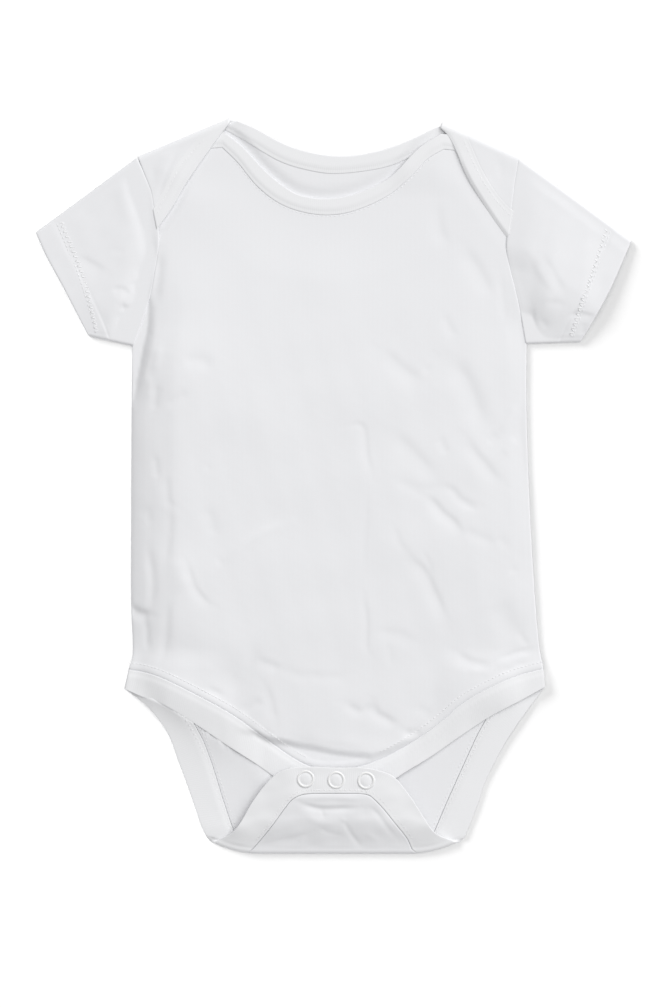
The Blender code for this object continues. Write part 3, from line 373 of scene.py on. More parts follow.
SLEEVE_CREASES = [
    (-0.72, 6, 3.6, [(-110.5, 171.6), (-107.8, 158.8), (-104.6, 147), (-101.9, 136.3),
        (-100.3, 125.6), (-99.8, 114.9)]),
    (0.2, 3.6, 3.6, [(-115.8, 169.5), (-112.6, 153.4), (-109.4, 139.5)]),
    (-0.39, 1.4, 3.6, [(-119.6, 105.3), (-113.7, 105.8), (-108.9, 102.1)]),
    (-0.39, 1.2, 2.6, [(-114.2, 97.3), (-110.5, 95.1)]),
    (-0.85, 1.4, 3.8, [(-112.6, 94.6), (-112.6, 88.2), (-113.2, 79.6)]),
    (-0.33, 1.9, 3.6, [(-107.3, 110.6), (-105.1, 104.2)]),
    (-1.23, 3.1, 7.2, [(-98.2, 126.7), (-100.3, 113.3), (-102.5, 99.9), (-105.1, 88.2),
        (-106.2, 78.5)]),
    (-0.33, 1.7, 4.1, [(-137.2, 123.5), (-129.7, 119.2), (-122.2, 114.9)]),
    (-0.16, 2.2, 2.2, [(-125.5, 94.6), (-121.2, 83.9)]),
    (0.2, 8.4, 8.4, [(-146.9, 153.4), (-136.2, 142.7), (-127.6, 132)]),
    (-0.1, 1.9, 1.9, [(-120.1, 126.7), (-111.5, 125.6)]),
    (-0.33, 2.2, 4.3, [(103.5, 122.4), (107.8, 112.8), (116.4, 101)]),
    (-0.29, 1.9, 4.1, [(111, 123.5), (116.4, 114.9), (122.8, 103.1)]),
    (-0.23, 1.9, 2.4, [(112.1, 97.8), (118.5, 98.3), (123.9, 96.7)]),
    (-0.45, 1.2, 3.1, [(124.9, 91.4), (131.3, 92.4), (139.9, 90.8)]),
    (-0.45, 1.4, 3.6, [(105.7, 96.7), (106.2, 88.2), (106.2, 79.6)]),
    (-0.2, 1.7, 1.7, [(109.9, 90.3), (114.2, 85)]),
    (-0.23, 1.7, 1.7, [(133.5, 88.2), (132.4, 80.7)]),
    (0.16, 8.4, 8.4, [(112.6, 161.5), (120.6, 145.4), (123.9, 129.4)]),
    (1.37, 24, 16.8, [(104.6, 110.6), (120.6, 108.5), (144.2, 107.4)]),
]
# The back's underside lies flat but for a few long shallow hollows.
UNDERSIDE_HOLLOWS = [
    (0.5, 9, 6, [(-60, 120), (-30, 60), (-10, -10)]),
    (0.5, 6, 9, [(70, 110), (45, 40), (50, -30)]),
    (0.45, 5, 8, [(-90, 20), (-60, -40), (-20, -80)]),
    (0.45, 8, 5, [(80, -20), (40, -70), (0, -90)]),
    (0.4, 4, 5, [(-75, -70), (-40, -100), (-10, -120)]),
    (0.4, 4, 5, [(85, -75), (50, -100), (20, -125)]),
    (0.35, 7, 7, [(-20, 140), (0, 90), (15, 30)]),
    (0.3, 3, 4, [(-35, -140), (0, -150), (35, -142)]),
]
# Where the front's surface falls away on the sleeve's side of a soft edge: the fall's height,
# how far it reaches, and the edge's line.
FRONT_FALLS = [
    (5.2, 9, [(-94.4, 126), (-94.9, 100), (-95.4, 81), (-98, 69), (-101.4, 57), (-102.5, 40)]),
]


def ease(x):
    """0 below 0, 1 above 1, and a smooth rise between."""
    x = np.clip(x, 0, 1)
    return x * x * (3 - 2 * x)


def past(at, start, run):
    """0 up to the start, 1 a run beyond it, and a smooth rise between."""
    return ease((at - start) / run)


def before(at, end, run):
    """1 up to a run short of the end, 0 beyond the end, and a smooth fall between."""
    return ease((end - at) / run)


def bell(at, middle, width):
    """1 in the middle, falling away softly to either side."""
    return np.exp(-(((at - middle) / width) ** 2))


def hill(x, y, middle, wide, long):
    """The same round a point."""
    return np.exp(-(((x - middle[0]) / wide) ** 2 + ((y - middle[1]) / long) ** 2))


def lower_of(a, b, blend):
    """The lower of two heights, with the corner between them rounded off."""
    return -blend * np.log(np.exp(-a / blend) + np.exp(-b / blend))


def sampled(points, at):
    """A smooth line through the points, at evenly spaced steps or at fractions of its length."""
    p = np.array(points, float)
    q = np.vstack([2 * p[0] - p[1], p, 2 * p[-1] - p[-2]])
    t = np.linspace(0, 1, 24, endpoint=False)[:, None]
    line = []
    for a, b, c, d in zip(q, q[1:], q[2:], q[3:]):
        line.append(
            0.5 * (2 * b + (c - a) * t + (2 * a - 5 * b + 4 * c - d) * t**2
                   + (3 * b - a - 3 * c + d) * t**3)
        )
    line = np.vstack(line + [p[-1:]])
    return measured(line, at)


def measured(line, at):
    """The line at evenly spaced steps or at fractions of its length, without smoothing it."""
    fractions = np.linspace(0, 1, at + 1) if np.ndim(at) == 0 else at
    along = lengths_along(line)
    return looked_up(fractions * along[-1], along, line)


def looked_up(at, ruler, line):
    """Places on a line, by a ruler that gives each of its points a number."""
    return np.stack([np.interp(at, ruler, values) for values in line.T], axis=-1)


def lengths_along(line):
    """How far along a line each of its points lies."""
    return np.concatenate([[0], np.cumsum(np.linalg.norm(np.diff(line, axis=0), axis=1))])


def length_of(line):
    return float(np.linalg.norm(np.diff(line, axis=0), axis=1).sum())


def close_at_ends(steps, length):
    """Fractions of a length: even steps, with close ones at each end for the rolled edge."""
    near = np.array(ROLL_STEPS) / length
    even = np.linspace(AFTER_ROLL / length, 1 - AFTER_ROLL / length, steps + 1 - 2 * len(near))
    return np.concatenate([near, even, 1 - near[::-1]])


def joined(*lines):
    """The lines end to end, each shared end once."""
    return np.vstack([lines[0]] + [line[1:] for line in lines[1:]])


def coons(top, bottom, left, right, u, v):
    """Rows of points that fill the space inside four edges, at fractions u across and v down."""
    u, v = u[None, :, None], v[:, None, None]
    across = (1 - v) * top[None] + v * bottom[None]
    down = (1 - u) * left[:, None] + u * right[:, None]
    upper, lower = (1 - u) * top[0] + u * top[-1], (1 - u) * bottom[0] + u * bottom[-1]
    return across + down - ((1 - v) * upper + v * lower)


def left_of(run):
    """The directions to the left of each step, of length 1."""
    run = run / np.linalg.norm(run, axis=1)[:, None]
    return np.stack([-run[:, 1], run[:, 0]], axis=1)


def moved_over(line, toward, distance):
    """The line moved sideways by a distance, to the side where toward lies."""
    sides = left_of(np.diff(line, axis=0))
    sides *= np.sign((sides * (toward - line)[:-1]).sum(1))[:, None]
    arriving, leaving = np.vstack([sides[:1], sides]), np.vstack([sides, sides[-1:]])
    mitre = arriving + leaving
    mitre /= (mitre * arriving).sum(1)[:, None]
    return line + mitre * distance


def near_line(p, line):
    """How far each point is from a line, on which side (1 is its left), and how far along it."""
    best, side, at = np.full(len(p), np.inf), np.ones(len(p)), np.zeros(len(p))
    steps = np.diff(line, axis=0)
    lengths = np.linalg.norm(steps, axis=1)
    done = 0.0
    for a, d, length in zip(line, steps, lengths):
        if length < 1e-9:
            continue
        t = np.clip((p - a) @ d / length**2, 0, 1)
        off = p - a - t[:, None] * d
        away = np.hypot(off[:, 0], off[:, 1])
        closer = away < best
        best[closer] = away[closer]
        side[closer] = np.where(d[0] * off[closer, 1] - d[1] * off[closer, 0] >= 0, 1, -1)
        at[closer] = (done + t[closer] * length) / lengths.sum()
        done += length
    return best, side, at


def encloses(outline, p):
    """Whether a closed line of points goes round each point."""
    inside = np.zeros(len(p), bool)
    for a, b in zip(outline, np.roll(outline, -1, axis=0)):
        crossed = (a[1] > p[:, 1]) != (b[1] > p[:, 1])
        if crossed.any():
            inside ^= crossed & (a[0] + (p[:, 1] - a[1]) * (b[0] - a[0]) / (b[1] - a[1]) > p[:, 0])
    return inside


def creased(p, creases):
    """How far a table of creases raises or lowers the cloth at each point."""
    total = np.zeros(len(p))
    for height, left, right, points in creases:
        line = np.array(points, float)
        if len(line) > 2:
            line = sampled(line, 4 * len(line))
        most = 3 * max(left, right)
        near = ((p > line.min(0) - most) & (p < line.max(0) + most)).all(1)
        if not near.any():
            continue
        away, side, at = near_line(p[near], line)
        fade = 0.2 + 0.8 * ease(at / 0.3) * ease((1 - at) / 0.3)
        total[near] += height * fade * bell(away, 0, np.where(side > 0, left, right))
    return total


def fallen(p, falls):
    """How far the cloth lies lower beyond soft edges, on their lines' right."""
    total = np.zeros(len(p))
    for height, reach, points in falls:
        away, side, at = near_line(p, np.array(points, float))
        ends = ease(at / 0.15) * ease((1 - at) / 0.25)
        total -= height * ends * ease(away / reach) * (side < 0) * (away < FALL_ENDS)
    return total


def smoothed(table):
    """A table of rises with its corners eased, as (distance in, rise) on an even ruler."""
    step = 0.25
    ruler = np.arange(-12, 240, step)
    rise = np.interp(np.abs(ruler), table["in"], table["rise"]) * np.sign(ruler)
    weights = bell(np.arange(-12, 13) * step, 0, 1.3)
    return ruler, np.convolve(rise, weights / weights.sum(), "same")


GOLDEN_TURN = 2.399  # radians from one wave's heading to the next, so that none line up


def unevenness(p, scale, seed):
    """Soft hills and hollows between -1 and 1 that no row of waves repeats."""
    total = np.zeros(len(p))
    for k in range(7):
        turn = seed * 1.7 + k * GOLDEN_TURN
        wave = scale * (0.8 + 0.23 * k)
        across = p[:, 0] * math.cos(turn) + p[:, 1] * math.sin(turn)
        total += np.sin(across * 2 * math.pi / wave + seed + k * k)
    return total / 4


class Fold:
    """Turns the back piece over along a line. out points across it, away from the garment."""

    def __init__(self, start, end, radius, drop, sag=lambda along: 0.0, lift=lambda p: 0.0):
        self.start = np.array(start, float)
        run = np.array(end, float) - self.start
        self.along = run / np.linalg.norm(run)
        self.out = np.array((-self.along[1], self.along[0]))
        if self.out @ self.start < 0:
            self.out = -self.out
        self.radius, self.drop, self.sag, self.lift = radius, drop, sag, lift
        self.arc = math.pi * radius

    def beyond(self, p):
        """How far the flat piece reaches, at each point, past where it starts to turn."""
        away = np.array(p) - self.start
        return away @ self.out + self.sag(away @ self.along) + self.radius

    def reach(self, p):
        return (np.array(p) - self.start) @ self.along

    def at(self, along, turned=0.0):
        """The flat point that far along the fold and that far round it."""
        out = turned - self.radius - self.sag(along)
        return self.start + np.multiply.outer(along, self.along) + np.multiply.outer(out, self.out)

    def flat(self, p):
        """The flat place of points seen on the upper layer."""
        return np.array(p) + np.multiply.outer(self.arc - 2 * self.beyond(p), self.out)

    def place(self, p, depth):
        """Flat points at a depth from the outer face: round the fold, then straight on."""
        turned = self.beyond(p)
        angle = np.clip(turned / self.radius, 0, math.pi)
        straight = np.maximum(0, turned - self.arc)
        out = (self.radius - depth) * np.sin(angle) - turned - straight
        plan = p + out[:, None] * self.out
        dropped = self.drop * ease(angle / math.pi)
        height = self.radius - (self.radius - depth) * np.cos(angle) - dropped
        return np.column_stack([plan, height + ease(straight / 1.5) * self.lift(plan)])


def bottom_sag(x):
    """How much higher the bottom fold lies towards its corners than in its straight middle."""
    corner = np.maximum(0.0, np.abs(x) - BOTTOM_STRAIGHT) / BOTTOM_CORNER_RUN
    return np.minimum(BOTTOM_CORNER_MOST, BOTTOM_CORNER_RISE * corner**2)


def snap_dome(p):
    """The cloth swells inside each snap's ring and is pressed down under it."""
    total = np.zeros(len(p))
    for x, y in SNAPS:
        away = np.hypot(p[:, 0] - x, p[:, 1] - y)
        total += 0.35 * before(away, 3.7, 2.2) - 0.25 * bell(away, 4.2, 0.9)
    return total


def flap_lift(p):
    """The flap fills out above its fold, dips under the snap band and climbs onto the tab."""
    x, y = p[:, 0], p[:, 1]
    onto_tab = FLAP_STEP * past(y, SNAP_BAND_Y, 13) * (1 - 0.4 * past(abs(x), 22, 20))
    from_fold = y - BOTTOM_LINE_Y - bottom_sag(x)
    full = FLAP_LOFT * past(from_fold, 0.5, 20 - 6 * past(abs(x), 36, 20))
    sides = 0.8 + 0.2 * ease(near_line(p, FLAP_SIDES)[0] / 22)
    full = full * (1 - 0.35 * past(y, SNAP_BAND_Y, 14)) * before(abs(x), 76, 26) * sides
    plain = onto_tab + full + 0.06 * np.maximum(0, y - SNAP_BAND_Y)
    return plain + creased(p, FLAP_CREASES) + snap_dome(p) + 0.12 * unevenness(p, 9, 3)


def lap_left_lift(p):
    rounded = LAP_LOFT * hill(p[:, 0], p[:, 1], (-86, 168), 10, 10)
    return rounded + creased(p, LAP_LEFT_CREASES) + LAP_UNEVENNESS * unevenness(p, 12, 5)


def lap_right_lift(p):
    """The right lap is pressed down along its edge, more so away from the neck."""
    pressed = 0.3 + 0.5 * before(p[:, 1], 178, 12)
    pressed = pressed * (1 - ease(near_line(p, LAP_RIGHT_LINE)[0] / 2.2))
    rounded = LAP_LOFT * hill(p[:, 0], p[:, 1], (74, 160), 10, 12) - pressed
    return rounded + creased(p, LAP_RIGHT_CREASES) + LAP_UNEVENNESS * unevenness(p, 12, 6)


def shoulder_fold(shoulder, lift):
    return Fold(shoulder["sleeve"], shoulder["neck"], SHOULDER_RADIUS, SHOULDER_DROP, lift=lift)


FLAP_LEFT_LINE, FLAP_RIGHT_LINE = sampled(FLAP_EDGE_LEFT, 20), sampled(FLAP_EDGE_RIGHT, 20)
FLAP_SIDES = np.vstack([FLAP_LEFT_LINE, FLAP_RIGHT_LINE])
LAP_LEFT_LINE, LAP_RIGHT_LINE = sampled(LAP_LEFT_EDGE, 20), sampled(LAP_RIGHT_EDGE, 20)
FOLD_LEFT = shoulder_fold(SHOULDER_LEFT, lap_left_lift)
FOLD_RIGHT = shoulder_fold(SHOULDER_RIGHT, lap_right_lift)
FOLD_BOTTOM = Fold(
    (0, BOTTOM_LINE_Y), (1, BOTTOM_LINE_Y), BOTTOM_RADIUS, BOTTOM_DROP, bottom_sag, flap_lift
)


def armhole_and_side(armhole, side, inward, v):
    """A panel's edge from its shoulder to its leg binding, with the seam's air at the armpit."""
    upper, lower = sampled(armhole, 60), sampled(side, 100)
    lower[:, 0] += np.linspace(inward, 0, len(lower))
    return measured(joined(upper, lower), v)


def front_edges(u, v):
    top = measured(joined(
        sampled(FRONT_SHOULDER_LEFT["seam"], 60),
        sampled(FRONT_NECK["seam"], 200),
        sampled(FRONT_SHOULDER_RIGHT["seam"], 60),
    ), u)
    bottom = sampled(FRONT_LEG["seam"], u)
    sides = []
    for corner, armhole, side, inward in (
        (top[0], ARMHOLE_LEFT, SIDE_LEFT, SEAM / 2),
        (top[-1], ARMHOLE_RIGHT, SIDE_RIGHT, -SEAM / 2),
    ):
        armhole = [corner] + [(x + inward, y) for x, y in armhole if y < corner[1] - 5]
        sides.append(armhole_and_side(armhole, side, inward, v))
    return top, bottom, *sides


FRONT_TOP, FRONT_BOTTOM, FRONT_LEFT, FRONT_RIGHT = front_edges(
    np.linspace(0, 1, 81), np.linspace(0, 1, 61)
)
FRONT_RING = np.vstack([FRONT_TOP, FRONT_RIGHT, FRONT_BOTTOM[::-1], FRONT_LEFT[::-1]])
LEFT_LINE = np.vstack([FRONT_LEFT, FRONT_LEG["edge"][0]])
RIGHT_LINE = np.vstack([FRONT_RIGHT, FRONT_LEG["edge"][-1]])
NECK_LINE = sampled(FRONT_NECK["seam"], 30)
NECK_EDGE_LINE = sampled(FRONT_NECK["edge"], 40)
LEG_SEAM_LINE = sampled(FRONT_LEG["seam"], 60)
LEG_EDGE_LINE = sampled(FRONT_LEG["edge"], 30)
RISE_FROM_LEFT = smoothed(LEFT_RISE)
RISE_FROM_RIGHT = smoothed(RIGHT_RISE)


def beyond_laps(p):
    """0 under the laps and 1 a little way past their edges."""
    left, on_left = near_line(p, LAP_LEFT_LINE)[:2]
    right, on_right = near_line(p, LAP_RIGHT_LINE)[:2]
    return ease(left / 5) * (on_left > 0) * ease(right / 7) * (on_right < 0)


def loft(p):
    """How far the front stands clear: it comes down at its sides, its neck and the crotch tab."""
    x, y = p[:, 0], p[:, 1]
    left = near_line(p, LEFT_LINE)[0] + ARMHOLE_FULLNESS * past(y, ARMPIT_Y, 38)
    right = near_line(p, RIGHT_LINE)[0] + ARMHOLE_FULLNESS * past(y, ARMPIT_Y, 24)
    left, right = np.interp(left, *RISE_FROM_LEFT), np.interp(right, *RISE_FROM_RIGHT)
    sides = lower_of(left, right, SIDES_BLEND)
    off_sides = ease(sides / 0.8)
    from_leg = near_line(p, LEG_EDGE_LINE)[0]
    at_leg = (1 - ease(from_leg / 34)) * past(abs(x), 44, 16) * before(abs(x), 106, 18)
    full = sides + at_leg * np.where(x < 0, *LEG_LIFT)
    full = full - LOW_BELLY_DROP * before(y, -30, 105) * ease(sides / 3)
    to_leg = (1 - ease(from_leg / 48)) * past(abs(x), 30, 25)
    full = full * (1 - 0.5 * to_leg)
    for height, scale, seed in FRONT_UNEVENNESS:
        full = full + height * unevenness(p, scale, seed)
    full = np.clip(full + fallen(p, FRONT_FALLS) * off_sides, 0, MOST_LOFT)
    neck = ease(near_line(p, NECK_LINE)[0] / NECK_RUN) * ((y < 129) | encloses(FRONT_RING, p))
    at_laps = np.where(x < 0, *LOFT_AT_LAPS)
    near_laps = np.minimum(full, at_laps + (1 - at_laps) * beyond_laps(p))
    near_laps = near_laps * before(y, np.where(x < 0, *LAP_TOPS), 20)
    below_laps = np.maximum(0, full - 1) * before(y, 142, 92)
    past_drop = np.interp(x, DROP_TO_TAB["x"], DROP_TO_TAB["y"]) + DROP_RUN - 1 - y
    tab = 1 - ease(past_drop / DROP_RUN) * before(abs(x), 54, 17)
    raised = near_laps + below_laps + creased(p, FRONT_CREASES) * off_sides
    return np.maximum(0, raised) * neck * tab


def front_floor(p):
    """The height of the front's underside: it steps up over the back's bindings and the tab."""
    x, y = p[:, 0], p[:, 1]
    hip = BAND_STEP * past(abs(x), 52, 18) * before(y, -86, 12)
    hip = hip + HIP_STEP * hill(abs(x), y, (90, -113), 16, 15) * before(abs(x), 107, 12)
    neck = BAND_STEP * past(x, 26, 14) * past(y, 154, 18) * before(x, 70, 18)
    tab = TAB_STEP * before(y, -132, 18) * before(abs(x), 52, 20)
    return FRONT_FLOOR + hip + neck + tab + loft(p)


def place_front(p, depth):
    """The front's cloth and bindings: depth is the height over its underside."""
    away, side, at = near_line(p, LEG_SEAM_LINE)
    allowance = 0.26 * past(away, 0.3, 0.7) * before(away, 4.2, 0.8) * (side > 0)
    ruffle = 0.05 * np.sin(at * 2 * math.pi * 95) * bell(away, 3.6, 1.4)
    on_top = np.clip(depth / CLOTH, 0, 1)
    x = abs(p[:, 0])
    tilt = np.where(p[:, 0] < 0, *LEG_TILT) * away * (side < 0)
    tilt = tilt * past(x, 42, 20) * before(x, 106, 12)
    return np.column_stack([p, front_floor(p) + depth - tilt + (allowance + ruffle) * on_top])


def inside_neck(p):
    """How far the back rises clear of the front's neck edge, where it shows inside the neck."""
    away, side = near_line(p, NECK_EDGE_LINE)[:2]
    shown = (side > 0) * (p[:, 1] > 150) * before(abs(p[:, 0] + 1), 62, 18)
    return NECK_RISE * ease(away / 6) * shown


def inside_legs(p):
    """How far the back rises towards the front's leg bindings, which stand clear of it."""
    x, y = p[:, 0], p[:, 1]
    in_opening = past(abs(x), 20, 16) * before(abs(x), 112, 16)
    away = near_line(p, LEG_EDGE_LINE)[0]
    slope = np.where(x < 0, LEG_RISE[0] + LEFT_HIP_RISE * before(x, -48, 16), LEG_RISE[1])
    by_front = slope * np.exp(-away / 12)
    by_hip = np.where(x < 0, *HIP_RISE) * bell(abs(x), 84, 18) * np.exp(-away / 7)
    from_flap = near_line(p, FLAP_LEFT_LINE)[0]
    by_flap = FLAP_SIDE_RISE * np.exp(-from_flap / 9) * past(y, -192, 12) * ease(away / 6)
    return in_opening * (by_front + by_hip + by_flap)


def place_back(p, depth):
    """Flat points of the back, at a depth from the cloth's outer face, on the folded garment."""
    placed = np.column_stack([p, depth])
    room = np.clip(0.45 * (front_floor(p) - FRONT_FLOOR), 0, 1)
    hollow = creased(p, UNDERSIDE_HOLLOWS) + 0.1 + 0.1 * unevenness(p, 24, 7)
    placed[:, 2] += room * np.clip(hollow, 0, MOST_HOLLOW)
    placed[:, 2] += inside_neck(p) + inside_legs(p)
    for fold in (FOLD_LEFT, FOLD_RIGHT, FOLD_BOTTOM):
        over = fold.beyond(p) > 0
        if over.any():
            placed[over] = fold.place(p[over], depth[over])
    return placed


def piece(name, data, material):
    """An object in the scene from a mesh: smooth, at the origin, of one material."""
    data.shade_smooth()
    data.materials.clear()
    data.materials.append(material)
    made = bpy.data.objects.new(name, data)
    bpy.context.scene.collection.objects.link(made)
    return made


def turned_outwards(mesh, data):
    """Points a bmesh's faces outwards and puts it into mesh data."""
    bmesh.ops.recalc_face_normals(mesh, faces=mesh.faces)
    mesh.to_mesh(data)
    mesh.free()
    return data


def dressed(name, vertices, faces, flat, material):
    """A closed piece from vertices in millimetres, with its place in the flat cloth as a UV map."""
    data = bpy.data.meshes.new(name)
    data.from_pydata([tuple(v) for v in np.asarray(vertices) * MM], [], faces)
    grain = data.uv_layers.new(name="grain")
    index = np.empty(len(data.loops), int)
    data.loops.foreach_get("vertex_index", index)
    grain.data.foreach_set("uv", (np.asarray(flat)[index] * MM).astype(np.float32).ravel())
    mesh = bmesh.new()
    mesh.from_mesh(data)
    bmesh.ops.remove_doubles(mesh, verts=mesh.verts, dist=0.000002)
    bmesh.ops.dissolve_degenerate(mesh, edges=mesh.edges, dist=0.000001)
    return piece(name, turned_outwards(mesh, data), material)


def united(name, parts, material):
    """One piece from several meshes."""
    mesh = bmesh.new()
    for part in parts:
        mesh.from_mesh(part)
        bpy.data.meshes.remove(part)
    return piece(name, turned_outwards(mesh, bpy.data.meshes.new(name)), material)


def tucked(points, rim):
    """How far each face of the cloth draws in towards its middle as it turns over the cut edge."""
    tree = KDTree(len(rim))
    for k, p in enumerate(rim):
        tree.insert((*p, 0.0), k)
    tree.balance()
    away = np.array([tree.find((*p, 0.0))[2] for p in points])
    return CLOTH / 2 * (1 - np.sqrt(1 - (1 - np.clip(away / ROLL, 0, 1)) ** 2))


def wide_faces(numbers, step):
    """Faces several quads wide, which still use every point along the grid's outer edges."""
    rows, columns = numbers.shape
    faces = []
    for r in range(0, rows - 1, step):
        for c in range(0, columns - 1, step):
            square = numbers[r : r + step + 1, c : c + step + 1]
            sides = (square[0], square[:, -1], square[-1, ::-1], square[::-1, 0])
            within = (r > 0, c + step < columns - 1, r + step < rows - 1, c > 0)
            face = [(side[[0, -1]] if inner else side)[:-1] for side, inner in zip(sides, within)]
            faces.append(np.concatenate(face))
    return faces


def cloth(name, place, grids, under_step=1):
    """A panel: its grids share edges where their points meet; its hidden face may be coarser."""
    index, points, top, under, use = {}, [], [], [], {}
    for grid in grids:
        numbers = np.empty(grid.shape[:2], int)
        for r, row in enumerate(grid):
            for c, p in enumerate(row):
                key = (round(p[0], 3), round(p[1], 3))
                if key not in index:
                    index[key] = len(points)
                    points.append(p)
                numbers[r, c] = index[key]
        rows, columns = numbers.shape
        for r in range(rows - 1):
            for c in range(columns - 1):
                quad = [numbers[r, c], numbers[r, c + 1], numbers[r + 1, c + 1], numbers[r + 1, c]]
                top.append(quad)
                for a, b in zip(quad, quad[1:] + quad[:1]):
                    use[min(a, b), max(a, b)] = use.get((min(a, b), max(a, b)), 0) + 1
        under += wide_faces(numbers, under_step)
    points = np.array(points)
    cut = [edge for edge, times in use.items() if times == 1]
    rim = np.vstack([np.linspace(points[a], points[b], 12) for a, b in cut])
    tuck = tucked(points, rim)
    n = len(points)
    shared = np.zeros(n, bool)
    shared[np.array(cut).ravel()] = True
    under_face = place(points, tuck)
    top_face = place(points, CLOTH - tuck)
    low = np.where(shared, np.arange(n), np.arange(n) + n)
    faces = [[int(k) for k in quad] for quad in top]
    faces += [[int(low[k]) for k in reversed(poly)] for poly in under]
    used = np.unique(np.concatenate(faces))
    renumber = np.full(2 * n, -1)
    renumber[used] = np.arange(len(used))
    vertices = np.vstack([top_face, under_face])[used]
    flat = np.vstack([points, points])[used]
    faces = [list(dict.fromkeys(int(renumber[k]) for k in face)) for face in faces]
    return dressed(name, vertices, [f for f in faces if len(f) > 2], flat, JERSEY)


def band_section(width, roll):
    """A binding cut across: (distance from its free edge, depth) round its outline."""
    half = BAND / 2
    free = roll * np.array([0.0, 0.04, 0.12, 0.28, 0.48, 0.72, 1.0])
    flat = np.linspace(roll, width - 1.6, 17)[1:]
    at_seam = width - np.array([1.3, 1.0, 0.7, 0.45, 0.25, 0.1, 0.0])
    away = np.concatenate([free, flat, at_seam])
    rounded = (1 - (1 - np.clip(away / roll, 0, 1)) ** 2.5) ** (1 / 2.5)
    corner = 0.5 + 0.5 * np.sqrt(1 - (1 - np.clip((width - away) / 0.5, 0, 1)) ** 2)
    drawn_in = STITCHES_SINK * bell(width - away, BAND_STITCHES, 0.45)
    thinner = SEAM_THINNER * ease((away - width + THIN_RUN) / THIN_RUN)
    low = half - (half - drawn_in) * rounded * corner
    high = half + (half - drawn_in - thinner) * rounded * corner
    return np.concatenate([away, away[:0:-1]]), np.concatenate([low, high[:0:-1]])


def ring_quads(first, second, count):
    """Faces between two rings of points, given the number of each ring's first point."""
    steps = [(j, (j + 1) % count) for j in range(count)]
    return [[first + a, first + b, second + b, second + a] for a, b in steps]


def binding(name, seam, edge, place, gap, roll=0.25):
    """A binding, station by station: gap draws it back from its seam, roll rounds its free edge."""
    inner = moved_over(seam, edge, gap)
    widths = np.linalg.norm(inner - edge, axis=1)
    along = lengths_along((inner + edge) / 2)
    plan, depth, flat = [], [], []
    for k, width in enumerate(widths):
        away, deep = band_section(width, roll)
        plan.append(edge[k] + np.outer(away / width, inner[k] - edge[k]))
        depth.append(deep)
        flat.append(np.column_stack([np.full(len(away), along[k]), away]))
    ring = len(depth[0])
    vertices = place(np.vstack(plan), np.concatenate(depth))
    faces = []
    last = (len(widths) - 1) * ring
    for start in range(0, last, ring):
        faces += ring_quads(start, start + ring, ring)
    faces += [list(range(ring))[::-1], list(range(last, last + ring))]
    return dressed(name, vertices, faces, np.vstack(flat), RIB)


def lap_grid(fold, ends, seam, armhole, fractions, steps=36):
    """A lap's plain cloth in the flat: rows that run from the sleeve seam to its binding's seam."""
    seam, armhole = fold.flat(sampled(seam, 60)), fold.flat(armhole)
    turned = [fold.beyond(line) for line in (armhole, seam)]
    along = [fold.reach(line) for line in (armhole, seam)]
    round_it = np.linspace(0, fold.arc, 17)[1:]
    rest = turned[1][-1] - fold.arc
    past_it = fold.arc + rest * close_at_ends(steps, rest)[len(ROLL_STEPS):]
    rows = []
    for t in (*round_it, *past_it):
        across = [np.interp(t, [0, *turned[k]], [ends[k], *along[k]]) for k in range(2)]
        places = across[0] + (across[1] - across[0]) * fractions
        rows.append(fold.at(places, np.full(len(places), t)))
    return np.array(rows)


def flap_side(side, at):
    """One side of the flap's plain cloth, from the fold up."""
    return sampled([(row[side], row["y"]) for row in FLAP_ROWS], at)


def crotch_grid(left, right, fractions):
    """The back's plain cloth round the bottom fold and up the flap, in the flat."""
    first = FLAP_ROWS[0]
    rows = []
    for part in np.linspace(0, 1, 19)[1:]:
        start = (1 - part) * left[0] + part * first["left"]
        end = (1 - part) * right[0] + part * first["right"]
        x = start + (end - start) * fractions
        rows.append(FOLD_BOTTOM.at(x, np.full(len(x), FOLD_BOTTOM.arc * part)))
    heights = [row["y"] for row in FLAP_ROWS]
    lines = [flap_side("left", 200), flap_side("right", 200)]
    span = heights[-1] - heights[0]
    for part in close_at_ends(50, span)[len(ROLL_STEPS):]:
        y = heights[0] + part * span
        start, end = (np.interp(y, line[:, 1], line[:, 0]) for line in lines)
        x = start + (end - start) * fractions
        rows.append(FOLD_BOTTOM.flat(np.column_stack([x, np.full(len(x), y)])))
    return np.array(rows)


